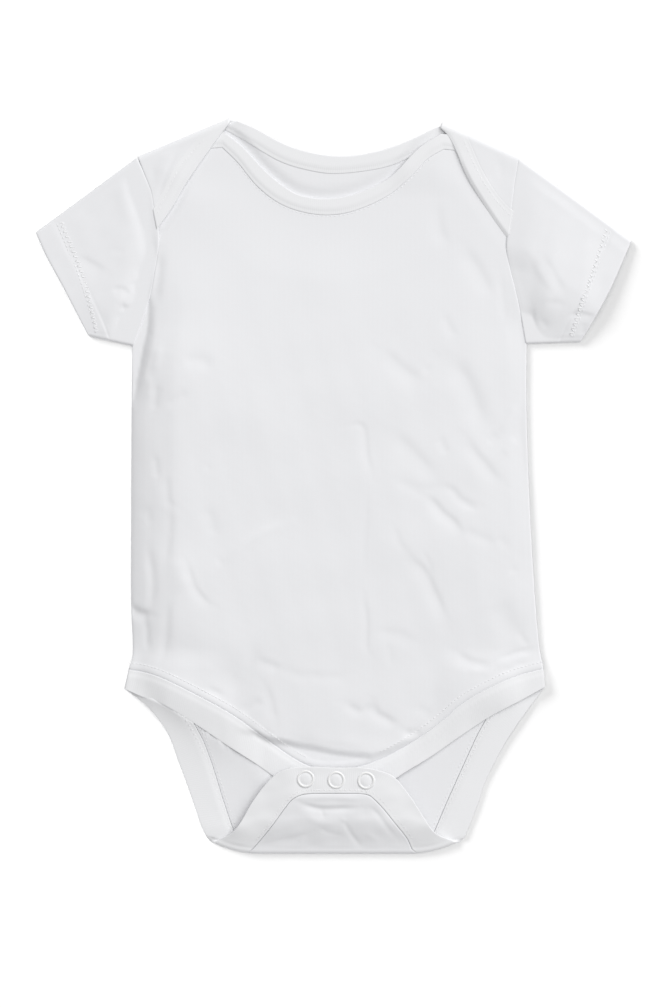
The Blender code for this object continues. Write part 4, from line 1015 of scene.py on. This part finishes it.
def back_panel():
    armhole_left = np.array(ARMHOLE_LEFT) + (SEAM / 2, 0)
    armhole_right = np.array(ARMHOLE_RIGHT) - (SEAM / 2, 0)
    ends_left = [FOLD_LEFT.reach(p) for p in (ARMHOLE_LEFT[0], BACK_NECK_SEAM[0])]
    ends_right = [FOLD_RIGHT.reach(p) for p in (ARMHOLE_RIGHT[0], BACK_NECK_SEAM[-1])]
    shoulder = close_at_ends(steps=30, length=44.0)
    crotch = close_at_ends(steps=86, length=94.0)
    leg = np.linspace(0, 1, 35)
    neck = sampled(BACK_NECK_SEAM, len(crotch) - 1 + 2 * (len(leg) - len(shoulder)))
    (sleeve, neck_end), none = ends_left, 0 * shoulder
    shoulder_left = FOLD_LEFT.at(sleeve + (neck_end - sleeve) * shoulder, none)
    sleeve, neck_end = ends_right
    shoulder_right = FOLD_RIGHT.at(neck_end + (sleeve - neck_end) * shoulder, none)
    neck[0], neck[-1] = shoulder_left[-1], shoulder_right[0]
    top = joined(shoulder_left, neck, shoulder_right)
    leg_left = sampled(BACK_LEG_LEFT["seam"], len(leg) - 1)
    leg_right = sampled(BACK_LEG_RIGHT["seam"], len(leg) - 1)[::-1]
    leg_left[-1], leg_right[0] = FOLD_BOTTOM.at(leg_left[-1][0]), FOLD_BOTTOM.at(leg_right[0][0])
    x = leg_left[-1][0] + (leg_right[0][0] - leg_left[-1][0]) * crotch
    bottom = joined(leg_left, FOLD_BOTTOM.at(x, 0 * x), leg_right)
    armhole_left[0], armhole_right[0] = shoulder_left[0], shoulder_right[-1]
    down = close_at_ends(steps=130, length=290.0)
    left = armhole_and_side(armhole_left, SIDE_LEFT, SEAM / 2, down)
    right = armhole_and_side(armhole_right, SIDE_RIGHT, -SEAM / 2, down)
    body = coons(top, bottom, left, right, np.linspace(0, 1, len(top)), down)
    lap_left = lap_grid(FOLD_LEFT, ends_left, LAP_LEFT_SEAM, armhole_left[:3], shoulder)
    backwards = 1 - shoulder[::-1]
    lap_right = lap_grid(FOLD_RIGHT, ends_right, LAP_RIGHT_SEAM, armhole_right[:3], backwards)
    span = slice(len(leg) - 1, len(leg) - 1 + len(crotch))
    flap = crotch_grid(leg_left[-1], leg_right[0], crotch)
    return cloth("back_cloth", place_back, [
        body,
        np.concatenate([body[:1, : len(shoulder)], lap_left])[::-1],
        np.concatenate([body[:1, ::-1][:, : len(shoulder)], lap_right]),
        np.concatenate([body[-1:, span], flap]),
    ])


def front_panel():
    u, v = close_at_ends(steps=216, length=222.0), close_at_ends(steps=300, length=333.0)
    return cloth("front_cloth", place_front, [coons(*front_edges(u, v), u, v)], under_step=3)


def round_fold(fold, start, end, steps=18):
    """Stations round a fold, from one end of a line across it to the other, in the flat."""
    part = np.arange(1, steps) / steps
    return fold.at((1 - part) * fold.reach(start) + part * fold.reach(end), fold.beyond(end) * part)


def neck_binding_back():
    lines = []
    for lap_left, neck, lap_right in (
        (LAP_LEFT_SEAM, BACK_NECK_SEAM, LAP_RIGHT_SEAM),
        (LAP_LEFT_EDGE, BACK_NECK_EDGE, LAP_RIGHT_EDGE),
    ):
        left, right = FOLD_LEFT.flat(sampled(lap_left, 50)), FOLD_RIGHT.flat(sampled(lap_right, 50))
        middle = sampled(neck, 110)
        for k, fold in ((0, FOLD_LEFT), (-1, FOLD_RIGHT)):
            middle[k] = fold.at(fold.reach(middle[k]))
        lines.append(np.vstack([
            left[::-1],
            round_fold(FOLD_LEFT, middle[0], left[0])[::-1],
            middle,
            round_fold(FOLD_RIGHT, middle[-1], right[0]),
            right,
        ]))
    return binding("neck_binding_back_rib", *lines, place_back, gap=-0.7, roll=0.7)


def neck_binding_front():
    lines = []
    for side in ("seam", "edge"):
        lines.append(joined(
            sampled(FRONT_SHOULDER_LEFT[side], 36),
            sampled(FRONT_NECK[side], 150),
            sampled(FRONT_SHOULDER_RIGHT[side], 36),
        ))
    return binding("neck_binding_front_rib", *lines, place_front, gap=-0.3)


def leg_binding_front():
    lines = (sampled(FRONT_LEG[side], 260) for side in ("seam", "edge"))
    return binding("leg_binding_front_rib", *lines, place_front, gap=-0.1)


def leg_binding_back():
    flap_left, flap_right = flap_side("left", 60), flap_side("right", 60)
    top = measured(np.array([flap_left[-1], flap_right[-1]]), 50)
    edges = (sampled(FLAP_EDGE_LEFT, 60), sampled(FLAP_EDGE_TOP, 50), sampled(FLAP_EDGE_RIGHT, 60))
    flap = {"seam": joined(flap_left, top, flap_right[::-1]), "edge": joined(*edges)}
    lines = []
    for side in ("seam", "edge"):
        left = sampled(BACK_LEG_LEFT[side], 90)
        right = sampled(BACK_LEG_RIGHT[side], 90)[::-1]
        left[-1], right[0] = FOLD_BOTTOM.at(left[-1][0]), FOLD_BOTTOM.at(right[0][0])
        over = FOLD_BOTTOM.flat(flap[side])
        for k in (0, -1):
            over[k] = FOLD_BOTTOM.at(over[k][0], FOLD_BOTTOM.arc)
        lines.append(np.vstack([
            left,
            round_fold(FOLD_BOTTOM, left[-1], over[0]),
            over,
            round_fold(FOLD_BOTTOM, right[0], over[-1])[::-1],
            right,
        ]))
    return binding("leg_binding_back_rib", *lines, place_back, gap=0.12)


class Sleeve:
    """A flat tube: its lower side on the surface, its upper side raised, open at both ends."""

    def __init__(self, armhole, shoulder, cuff, outward, lap_low, fullness):
        self.seam = sampled([shoulder] + [(x, y) for x, y in armhole[1:]], 60)
        inside = self.seam - (1.5 * outward, 0)
        front_top = place_front(inside, np.full(len(inside), CLOTH))[:, 2]
        on_lap = 2 * SHOULDER_RADIUS - SHOULDER_DROP
        self.body = front_top + (on_lap - front_top) * past(inside[:, 1], lap_low, 14)
        self.seam[:, 0] -= 0.6 * outward
        self.cuff = sampled(cuff, 60)
        self.fullness = fullness

    def line(self, part):
        return (1 - part) * self.seam + part * self.cuff

    def edges(self, part):
        """How thick the tube's folded edges are: beside the shoulder, and under the arm."""
        return SLEEVE_TOP_EDGE - 0.8 * ease(part / 0.6), SLEEVE_EDGE

    def upper(self, part, across):
        """Places on the upper side's outer face."""
        line = self.line(part)
        length = length_of(line)
        t = np.linspace(0, 1, len(line))
        plan = looked_up(across, t, line)
        over, under = self.edges(part)
        from_top = np.maximum(0, across * length - over / 2)
        from_below = np.maximum(0, (1 - across) * length - under / 2)
        high = np.interp(from_top, *SLEEVE_TOP_RISE)
        low = np.interp(from_below, *SLEEVE_BELOW_RISE)
        base = under + (over - under) * ease(1 - across / 0.8)
        full = self.fullness * (0.28 + lower_of(high, low, 0.4))
        full = full + 0.1 * unevenness(plan, 18, 4) + 0.04 * unevenness(plan, 8, 9)
        reach = np.interp(across, t, np.linalg.norm(self.cuff - self.seam, axis=1))
        to_body = 1 - ease(part * reach / 20)
        full = full + to_body * (np.interp(across, t, self.body) - 0.1 - base - full)
        full = full + creased(plan, SLEEVE_CREASES) * ease(part * reach / 3)
        full = full * ease(from_top / 7) * ease(from_below / 3)
        from_cuff = (1 - part) * reach
        hem = 0.15 * before(from_cuff, HEM + 0.4, 0.6) - 0.2 * bell(from_cuff, HEM, 0.5)
        return np.column_stack([plan, base + np.maximum(0, full) + hem * past(part, 0.3, 0.1)])

    def made(self, name):
        parts = close_at_ends(64, SLEEVE_LENGTH)
        rings, flat = zip(*(self.loop(part, layer) for layer in (0, 1) for part in parts))
        n, count = len(rings[0]), len(parts)
        faces, inside = [], []
        for k in range(count - 1):
            faces += ring_quads(k * n, (k + 1) * n, n)
            inside += ring_quads((count + k) * n, (count + k + 1) * n, n)
        faces += [quad[:1] + quad[:0:-1] for quad in inside]
        for k in (0, count - 1):
            faces += ring_quads(k * n, (count + k) * n, n)
        return dressed(name, np.vstack(rings), faces, np.vstack(flat), JERSEY)

    def loop(self, part, layer):
        """Once round the tube, in place and flat, on its outer face (layer 0) or its inner one."""
        line = self.line(part)
        length = length_of(line)
        from_end = min(part, 1 - part) * SLEEVE_LENGTH
        tuck = CLOTH / 2 * (1 - math.sqrt(1 - (1 - min(from_end / ROLL, 1)) ** 2))
        depth = tuck if layer == 0 else CLOTH - tuck
        over, under = (edge / 2 for edge in self.edges(part))

        def at(u):
            return looked_up(u, np.linspace(0, 1, len(line)), line)

        across = np.linspace(over / length, 1 - under / length, 90)
        ring = [np.column_stack([at(across), np.full(len(across), depth)])]
        for end, inner, half in ((1.0, across[-1], under), (0.0, across[0], over)):
            middle = at(inner)
            away = (at(end) - middle) / np.linalg.norm(at(end) - middle)
            angle = math.pi * np.arange(1, 10) / 10
            way = -1 if end else 1
            plan = middle + np.outer((half - depth) * np.sin(angle), away)
            ring.append(np.column_stack([plan, half + way * (half - depth) * np.cos(angle)]))
            if end:
                ring.append(self.upper(part, across[::-1]) - (0, 0, depth))
        ring = np.vstack(ring)
        around = np.linspace(0, 2 * length, len(ring))
        return ring, np.column_stack([around, np.full(len(ring), part * SLEEVE_LENGTH)])


SLEEVE_TOP_RISE, SLEEVE_BELOW_RISE = smoothed(SLEEVE_FROM_TOP), smoothed(SLEEVE_FROM_BELOW)
SLEEVE_ON_LEFT = Sleeve(
    ARMHOLE_LEFT, SHOULDER_LEFT["sleeve"], CUFF_LEFT, outward=-1, lap_low=121, fullness=0.5
)
SLEEVE_ON_RIGHT = Sleeve(
    ARMHOLE_RIGHT, SHOULDER_RIGHT["sleeve"], CUFF_RIGHT, outward=1, lap_low=117, fullness=0.8
)


def add_node(tree, kind, settings=None, inputs=None):
    """A node in a tree: its settings first, then its sockets' values or links."""
    made = tree.nodes.new(kind)
    for key, value in (settings or {}).items():
        setattr(made, key, value)
    for key, value in (inputs or {}).items():
        feed(tree, made.inputs[key], value)
    return made


def feed(tree, socket, value):
    if isinstance(value, Value):
        value = value.socket
    if isinstance(value, bpy.types.NodeSocket):
        tree.links.new(value, socket)
    else:
        socket.default_value = value


class Value:
    """A number on a material's nodes that takes part in sums."""

    def __init__(self, paint, socket):
        self.paint, self.socket = paint, socket

    def sum(self, operation, *others):
        inputs = dict(enumerate(others))
        return self.paint.node("ShaderNodeMath", {"operation": operation}, inputs)[0]

    def __add__(self, other):
        return self.sum("ADD", self, other)

    def __sub__(self, other):
        return self.sum("SUBTRACT", self, other)

    def __rsub__(self, other):
        return self.sum("SUBTRACT", other, self)

    def __mul__(self, other):
        return self.sum("MULTIPLY", self, other)

    def __truediv__(self, other):
        return self.sum("DIVIDE", self, other)

    def wave(self):
        """A cosine that comes round once for each whole number."""
        return self.sum("COSINE", self.sum("MULTIPLY", self, 2 * math.pi))

    def zigzag(self):
        """0 at whole numbers and 1 halfway between them."""
        return self.sum("PINGPONG", self, 0.5) * 2

    __radd__, __rmul__ = __add__, __mul__


class Paint:
    """A material being made, with one shader."""

    def __init__(self, name, **fixed):
        self.material = bpy.data.materials.new(name)
        self.material.use_nodes = True
        self.tree = self.material.node_tree
        self.shader = self.tree.nodes["Principled BSDF"]
        for socket, value in fixed.items():
            self.set(socket.replace("_", " "), value)

    def node(self, kind, settings=None, inputs=None):
        """A node's outputs, as values."""
        made = add_node(self.tree, kind, settings, inputs)
        return [Value(self, socket) for socket in made.outputs if socket.enabled]

    def place(self):
        """Where a point of the surface is, in the object's own coordinates."""
        return self.node("ShaderNodeTexCoord")[3]

    def noise(self, size, detail=2.0):
        """Soft noise from 0 to 1 whose lumps are about size across, in metres."""
        inputs = {"Vector": self.place(), "Scale": 1 / size, "Detail": detail}
        return self.node("ShaderNodeTexNoise", {}, inputs)[0]

    def blend(self, amount, first, second):
        """A colour that goes from the first to the second as amount goes from 0 to 1."""
        inputs = {"Factor": amount, "A": first, "B": second}
        return self.node("ShaderNodeMix", {"data_type": "RGBA"}, inputs)[0]

    def set(self, name, value):
        feed(self.tree, self.shader.inputs[name], value)

    def relief(self, height, depth, strength):
        """Raises the surface by height, from 0 to 1, times a depth in metres."""
        inputs = {"Height": height, "Distance": depth, "Strength": strength}
        self.set("Normal", self.node("ShaderNodeBump", {}, inputs)[0])


def knitted(name, pale, shade, wale, course, depth):
    """Knitted cotton: columns of V-shaped loops along the grain, some fluff, faint mottling,
    painted shade in hollows.
    """
    paint = Paint(name, Sheen_Weight=0.06, Sheen_Roughness=0.6, Specular_IOR_Level=0.2)
    grain = paint.node("ShaderNodeUVMap", {"uv_map": "grain"})[0]
    across, along = paint.node("ShaderNodeSeparateXYZ", {}, {0: grain})[:2]
    column = across / wale
    leg = column.zigzag()
    ridge = 0.5 - 0.5 * column.wave()
    loops = 0.5 + 0.5 * (along / course + 0.5 * leg).wave()
    fluff = paint.noise(0.0009, 3.0)
    height = 0.45 * ridge + 0.35 * loops + 0.2 * fluff
    mottled = paint.noise(0.03, 2.0)
    # Painted shade: the colour darkens where the knit's loops and fluff lie low. The mottling is
    # random tone of the cloth.
    paint.set("Base Color", paint.blend(0.45 * mottled + 0.25 * (1 - height) + 0.15, pale, shade))
    paint.set("Roughness", 0.86 + 0.08 * fluff)
    paint.relief(height, depth, 0.6)
    return paint.material


def stitched(name):
    """Sewing thread: two plies twisted together."""
    paint = Paint(name, Specular_IOR_Level=0.35, Sheen_Weight=0.05)
    x, y, z = paint.node("ShaderNodeSeparateXYZ", {}, {0: paint.place()})
    twist = ((x + y * 0.7 + z) / 0.00032).wave() * 0.5 + 0.5
    paint.set("Base Color", paint.blend(0.5 * twist, (0.93, 0.93, 0.935, 1), (0.86, 0.86, 0.87, 1)))
    paint.set("Roughness", 0.6 + 0.1 * twist)
    paint.relief(twist, 0.00004, 0.4)
    return paint.material


def enamelled(name):
    """White enamel, faintly rubbed, with a slight orange-peel."""
    paint = Paint(name, Specular_IOR_Level=0.5, Coat_Weight=0.25, Coat_Roughness=0.15)
    peel = paint.noise(0.0008, 1.0)
    rubbed = paint.noise(0.003, 3.0)
    paint.set("Base Color", paint.blend(0.5 * rubbed, (0.9, 0.9, 0.9, 1), (0.84, 0.84, 0.845, 1)))
    paint.set("Roughness", 0.28 + 0.14 * rubbed)
    paint.relief(peel, 0.00002, 0.3)
    return paint.material


def plated(name):
    """Bright plated brass of the snaps' hidden halves, finely brushed."""
    paint = Paint(name, Metallic=1.0)
    brushed = paint.noise(0.0004, 4.0)
    paint.set("Base Color", paint.blend(brushed, (0.78, 0.77, 0.75, 1), (0.62, 0.61, 0.6, 1)))
    paint.set("Roughness", 0.25 + 0.2 * brushed)
    paint.relief(brushed, 0.00001, 0.3)
    return paint.material


JERSEY = knitted(
    "white interlock", pale=(0.865, 0.868, 0.885, 1), shade=(0.835, 0.838, 0.858, 1),
    wale=0.00068, course=0.00056, depth=0.000035,
)
RIB = knitted(
    "white rib binding", pale=(0.885, 0.888, 0.90, 1), shade=(0.855, 0.858, 0.874, 1),
    wale=0.0011, course=0.0006, depth=0.00006,
)
THREAD = stitched("white sewing thread")
ENAMEL = enamelled("white snap enamel")
PLATE = plated("snap plating")


def stitch_tree():
    """Geometry nodes that lay stitches along a path, straight or slanted to and fro."""
    tree = bpy.data.node_groups.new("stitches along a path", "GeometryNodeTree")
    tree.interface.new_socket("Path", in_out="INPUT", socket_type="NodeSocketGeometry")
    for name in ("Pitch", "Length", "Thickness", "Slant"):
        tree.interface.new_socket(name, in_out="INPUT", socket_type="NodeSocketFloat")
    tree.interface.new_socket("Seed", in_out="INPUT", socket_type="NodeSocketInt")
    tree.interface.new_socket("Thread", in_out="INPUT", socket_type="NodeSocketMaterial")
    tree.interface.new_socket("Stitches", in_out="OUTPUT", socket_type="NodeSocketGeometry")

    def node(kind, settings=None, inputs=None):
        return add_node(tree, kind, settings, inputs).outputs

    def maths(operation, *values):
        return node("ShaderNodeMath", {"operation": operation}, dict(enumerate(values)))[0]

    given = node("NodeGroupInput")
    curve = node("GeometryNodeMeshToCurve", {}, {0: given["Path"]})[0]
    spacing = {"Curve": curve, "Length": given["Pitch"]}
    spaced = node("GeometryNodeResampleCurve", {"mode": "LENGTH"}, spacing)[0]
    bead = node("GeometryNodeMeshUVSphere", {}, {"Segments": 6, "Rings": 4, "Radius": 1.0})["Mesh"]
    soft = node("GeometryNodeSetShadeSmooth", {}, {"Geometry": bead})[0]
    way = maths("MULTIPLY_ADD", maths("MODULO", node("GeometryNodeInputIndex")[0], 2.0), -2.0, 1.0)
    limits = {"Min": -0.08, "Max": 0.08, "Seed": given["Seed"]}
    jitter = node("FunctionNodeRandomValue", {"data_type": "FLOAT"}, limits)
    loose = [output for output in jitter if output.enabled][0]
    slant = maths("MULTIPLY_ADD", way, given["Slant"], loose)
    tangent = node("GeometryNodeInputTangent")[0]
    lined = node("FunctionNodeAlignRotationToVector", {"axis": "X"}, {"Vector": tangent})[0]
    turn = node("FunctionNodeAxisAngleToRotation", {}, {"Angle": slant})[0]
    turned = node("FunctionNodeRotateRotation", {"rotation_space": "LOCAL"}, {0: lined, 1: turn})[0]
    long, thick = (maths("MULTIPLY", given[name], 0.5) for name in ("Length", "Thickness"))
    size = node("ShaderNodeCombineXYZ", {}, {0: long, 1: thick, 2: thick})[0]
    laid = {"Points": spaced, "Instance": soft, "Rotation": turned, "Scale": size}
    instances = node("GeometryNodeInstanceOnPoints", {}, laid)[0]
    real = node("GeometryNodeRealizeInstances", {}, {0: instances})[0]
    sewn = node("GeometryNodeSetMaterial", {}, {"Geometry": real, "Material": given["Thread"]})[0]
    node("NodeGroupOutput", {}, {0: sewn})
    return tree


STITCH_TREE = stitch_tree()


def stitches(name, paths):
    """One piece of stitches: each row is a path with its pitch, length, thickness and slant."""
    parts = []
    for number, (path, pitch, long, thick, slant) in enumerate(paths):
        data = bpy.data.meshes.new("path")
        edges = [(k, k + 1) for k in range(len(path) - 1)]
        data.from_pydata([tuple(p) for p in np.asarray(path) * MM], edges, [])
        row = bpy.data.objects.new(f"{name}_{number}", data)
        bpy.context.scene.collection.objects.link(row)
        laid = row.modifiers.new("stitches", "NODES")
        laid.node_group = STITCH_TREE
        values = {
            "Pitch": pitch * MM, "Length": long * MM, "Thickness": thick * MM,
            "Slant": math.radians(slant), "Seed": number + 3, "Thread": THREAD,
        }
        for item in STITCH_TREE.interface.items_tree:
            if item.in_out == "INPUT" and item.name in values:
                laid[item.identifier] = values[item.name]
        bpy.context.view_layer.update()
        seen = row.evaluated_get(bpy.context.evaluated_depsgraph_get())
        parts.append(bpy.data.meshes.new_from_object(seen))
        bpy.data.objects.remove(row, do_unlink=True)
    return united(name, parts, THREAD)


def on_front(line, over=0.08):
    """A line in plan laid on the front's upper face."""
    p = measured(line, max(8, int(length_of(line) / 0.8)))
    return place_front(p, np.full(len(p), CLOTH + over))


def beside(line, distance):
    """The line moved to its left by a distance."""
    return line + distance * left_of(np.gradient(line, axis=0))


def front_stitches():
    seam = sampled(FRONT_LEG["seam"], 300)
    rows = []
    for beside_tab in (seam[:, 0] < -17, seam[:, 0] > 26):
        rows.append((on_front(beside(seam[beside_tab], 3.9)), 2.1, 1.7, 0.42, 0))
    neck = sampled(FRONT_NECK["seam"], 200)[14:-14]
    rows.append((on_front(beside(neck, -1.1), THREAD_CLEAR), 2.3, 1.3, 0.32, 0))
    return stitches("front_stitches", rows)


def on_band(fold, seam, edge, inset, depth):
    """A line along a back binding, inset from its seam (or out on the cloth), at a depth."""
    inner = moved_over(seam, edge, SEAM + inset)
    p = inner if fold is None else fold.flat(inner)
    return place_back(p, np.full(len(p), depth))


def back_stitches():
    # On the bindings' inner face, where they are sewn.
    thinner = SEAM_THINNER * ease((THIN_RUN - BAND_STITCHES) / THIN_RUN)
    inner = BAND - thinner - STITCHES_SINK + THREAD_CLEAR
    rows = []
    neck, neck_edge = sampled(BACK_NECK_SEAM, 160)[8:-8], sampled(BACK_NECK_EDGE, 160)[8:-8]
    rows.append((on_band(None, neck, neck_edge, BAND_STITCHES, inner), 2.2, 1.5, 0.3, 0))
    for leg in (BACK_LEG_LEFT, BACK_LEG_RIGHT):
        seam, edge = sampled(leg["seam"], 160)[4:-6], sampled(leg["edge"], 160)[4:-6]
        rows.append((on_band(None, seam, edge, BAND_STITCHES, inner), 1.4, 2.5, 0.3, 58))
        on_back = on_band(None, seam, edge, -BAND_STITCHES, CLOTH + THREAD_CLEAR)
        rows.append((on_back, 2.2, 1.3, 0.34, 0))
    flap_left, flap_right = flap_side("left", 80)[10:], flap_side("right", 80)[10:]
    for seam, edge in (
        (flap_left, sampled(FLAP_EDGE_LEFT, 80)[10:]),
        (flap_right, sampled(FLAP_EDGE_RIGHT, 80)[::-1][10:]),
    ):
        rows.append((on_band(FOLD_BOTTOM, seam, edge, BAND_STITCHES, 0.03), 1.25, 2.4, 0.28, 58))
    top = measured(np.array([flap_left[-1], flap_right[-1]]), 40)
    top = on_band(FOLD_BOTTOM, top, sampled(FLAP_EDGE_TOP, 40), 1.5, -0.04)
    rows.append((top, 1.3, 1.5, 0.34, 40))
    for fold, seam, edge in (
        (FOLD_LEFT, LAP_LEFT_SEAM, LAP_LEFT_EDGE), (FOLD_RIGHT, LAP_RIGHT_SEAM, LAP_RIGHT_EDGE),
    ):
        seam, edge = sampled(seam, 60)[3:], sampled(edge, 60)[3:]
        rows.append((on_band(fold, seam, edge, BAND_STITCHES, THREAD_CLEAR), 2.2, 1.4, 0.32, 0))
    return stitches("back_stitches", rows)


def sleeve_stitches(name, sleeve):
    across = np.linspace(0.06, 0.94, 120)
    rows = []
    reach = np.linalg.norm(sleeve.cuff - sleeve.seam, axis=1).mean()
    for offset, pitch, long, thick, slant in (
        (0.0, 1.4, 3.0, 0.44, 62),
        (-1.9, 2.4, 1.8, 0.34, 0),
    ):
        part = 1 - (HEM + offset) / reach
        path = sleeve.upper(part, across) + (0, 0, THREAD_CLEAR)
        rows.append((path, pitch, long, thick, slant))
    return stitches(name, rows)


def lathed(place, profile, sides=48):
    """A round mesh from (radius, height) pairs: a closed outline, or one that ends on the axis."""
    mesh = bmesh.new()
    line = [mesh.verts.new((place[0] + r, place[1], z)) for r, z in profile]
    ends = list(zip(line, line[1:]))
    if profile[0][0] > 0:
        ends.append((line[-1], line[0]))
    edges = [mesh.edges.new(pair) for pair in ends]
    bmesh.ops.spin(
        mesh, geom=line + edges, cent=(*place, 0.0), axis=(0, 0, 1), angle=2 * math.pi,
        steps=sides, use_merge=True,
    )
    bmesh.ops.remove_doubles(mesh, verts=mesh.verts, dist=0.0005)
    bmesh.ops.scale(mesh, vec=(MM, MM, MM), verts=mesh.verts)
    return turned_outwards(mesh, bpy.data.meshes.new("lathed"))


def snap_ring(number, place):
    """A snap's outer half: the enamelled ring on the flap and the socket that it holds below."""
    at = np.array([place], float)
    top = 2 * BOTTOM_RADIUS - BOTTOM_DROP + float(flap_lift(at)[0]) - RING_SINK
    low = top - BAND
    wide, high = RING_RIM
    turn = np.linspace(0, 2 * math.pi, 20, endpoint=False)
    ring = [(RING_RADIUS + wide * math.cos(a), top + 0.02 + high * math.sin(a)) for a in turn]
    socket = [
        (0.0, low + 0.25), (1.7, low + 0.25), (1.9, low - 0.5), (2.1, low - 0.62),
        (3.5, low - 0.62), (3.8, low - 0.5), (3.9, low - 0.2), (3.9, low + 0.02),
        (3.2, low + 0.3), (0.0, low + 0.45),
    ]
    return united(f"snap_ring_{number}", [lathed(place, ring), lathed(place, socket)], ENAMEL)


def floor(reach=3):
    data = bpy.data.meshes.new("floor")
    corners = [(-reach, -reach, 0), (reach, -reach, 0), (reach, reach, 0), (-reach, reach, 0)]
    data.from_pydata(corners, [], [(0, 1, 2, 3)])
    paint = Paint("plain white floor", Roughness=1.0, Specular_IOR_Level=0.0)
    paint.set("Base Color", (0.9, 0.9, 0.9, 1))
    return piece("floor", data, paint.material)


def light(name, kind, azimuth, elevation, away, size, strength, lit):
    """A soft light that lights only one collection: size is a width, or an angle for a sun."""
    data = bpy.data.lights.new(name, kind)
    data.energy = strength
    if kind == "SUN":
        data.angle = math.radians(size)
    else:
        data.shape, data.size = "SQUARE", size
    made = bpy.data.objects.new(name, data)
    a, e = math.radians(azimuth), math.radians(elevation)
    toward = Vector((math.cos(a) * math.cos(e), math.sin(a) * math.cos(e), math.sin(e)))
    made.location = toward * away
    made.rotation_euler = toward.to_track_quat("Z", "Y").to_euler()
    bpy.context.scene.collection.objects.link(made)
    made.light_linking.receiver_collection = lit


def main():
    camera = bpy.data.objects.new("camera", bpy.data.cameras.new("camera"))
    camera.data.lens, camera.data.sensor_width = 180, 36
    camera.location = (0.0008, -0.0092, 2.7)
    bpy.context.scene.collection.objects.link(camera)
    bpy.context.scene.camera = camera

    back, front = back_panel(), front_panel()
    neck_back, neck_front = neck_binding_back(), neck_binding_front()
    leg_back, leg_front = leg_binding_back(), leg_binding_front()
    sleeve_left = SLEEVE_ON_LEFT.made("sleeve_left_cloth")
    sleeve_right = SLEEVE_ON_RIGHT.made("sleeve_right_cloth")
    front_sewing, back_sewing = front_stitches(), back_stitches()
    left_sewing = sleeve_stitches("sleeve_left_stitches", SLEEVE_ON_LEFT)
    right_sewing = sleeve_stitches("sleeve_right_stitches", SLEEVE_ON_RIGHT)
    rings = [snap_ring(number, place) for number, place in enumerate(SNAPS, 1)]

    for made, node, slot in (
        (back, "back_panel", "cotton_jersey"),
        (front, "front_panel", "cotton_jersey"),
        (sleeve_left, "sleeve_left", "cotton_jersey"),
        (sleeve_right, "sleeve_right", "cotton_jersey"),
        (neck_back, "neck_binding_back", "cotton_rib"),
        (neck_front, "neck_binding_front", "cotton_rib"),
        (leg_back, "leg_binding_back", "cotton_rib"),
        (leg_front, "leg_binding_front", "cotton_rib"),
        *((ring, f"snap_cap_{k}", "snap_metal") for k, ring in enumerate(rings, 1)),
    ):
        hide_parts(node)
        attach(made, "root")
    for made, slot in (
        (front_sewing, "cotton_jersey"), (back_sewing, "cotton_rib"),
        (left_sewing, "cotton_jersey"), (right_sewing, "cotton_jersey"),
    ):
        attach(made, "root")
    for k in (1, 2, 3):
        for place in frame["nodes"][f"snap_stud_{k}"].material_slots:
            place.material = PLATE

    garment = bpy.data.collections.new("garment")
    under = bpy.data.collections.new("under it")
    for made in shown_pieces():
        garment.objects.link(made)
    ground = floor()
    under.objects.link(ground)
    for name, kind, azimuth, elevation, away, size, strength, lit in (
        ("light on the cloth", "AREA", 50, 46, 8.0, 8.0, 588, garment),
        ("slanting light on the floor", "SUN", 140, 23, 3.0, 34, 2.7, under),
        ("light from above on the floor", "SUN", 90, 90, 3.0, 60, 1.3, under),
    ):
        light(name, kind, azimuth, elevation, away, size, strength, lit)
    world = bpy.data.worlds.new("studio")
    bpy.context.scene.world = world
    world.use_nodes = True
    background = world.node_tree.nodes["Background"].inputs
    background["Color"].default_value = (1, 1, 1, 1)
    background["Strength"].default_value = 0.44
    bpy.context.scene.view_settings.view_transform = "Standard"


main()
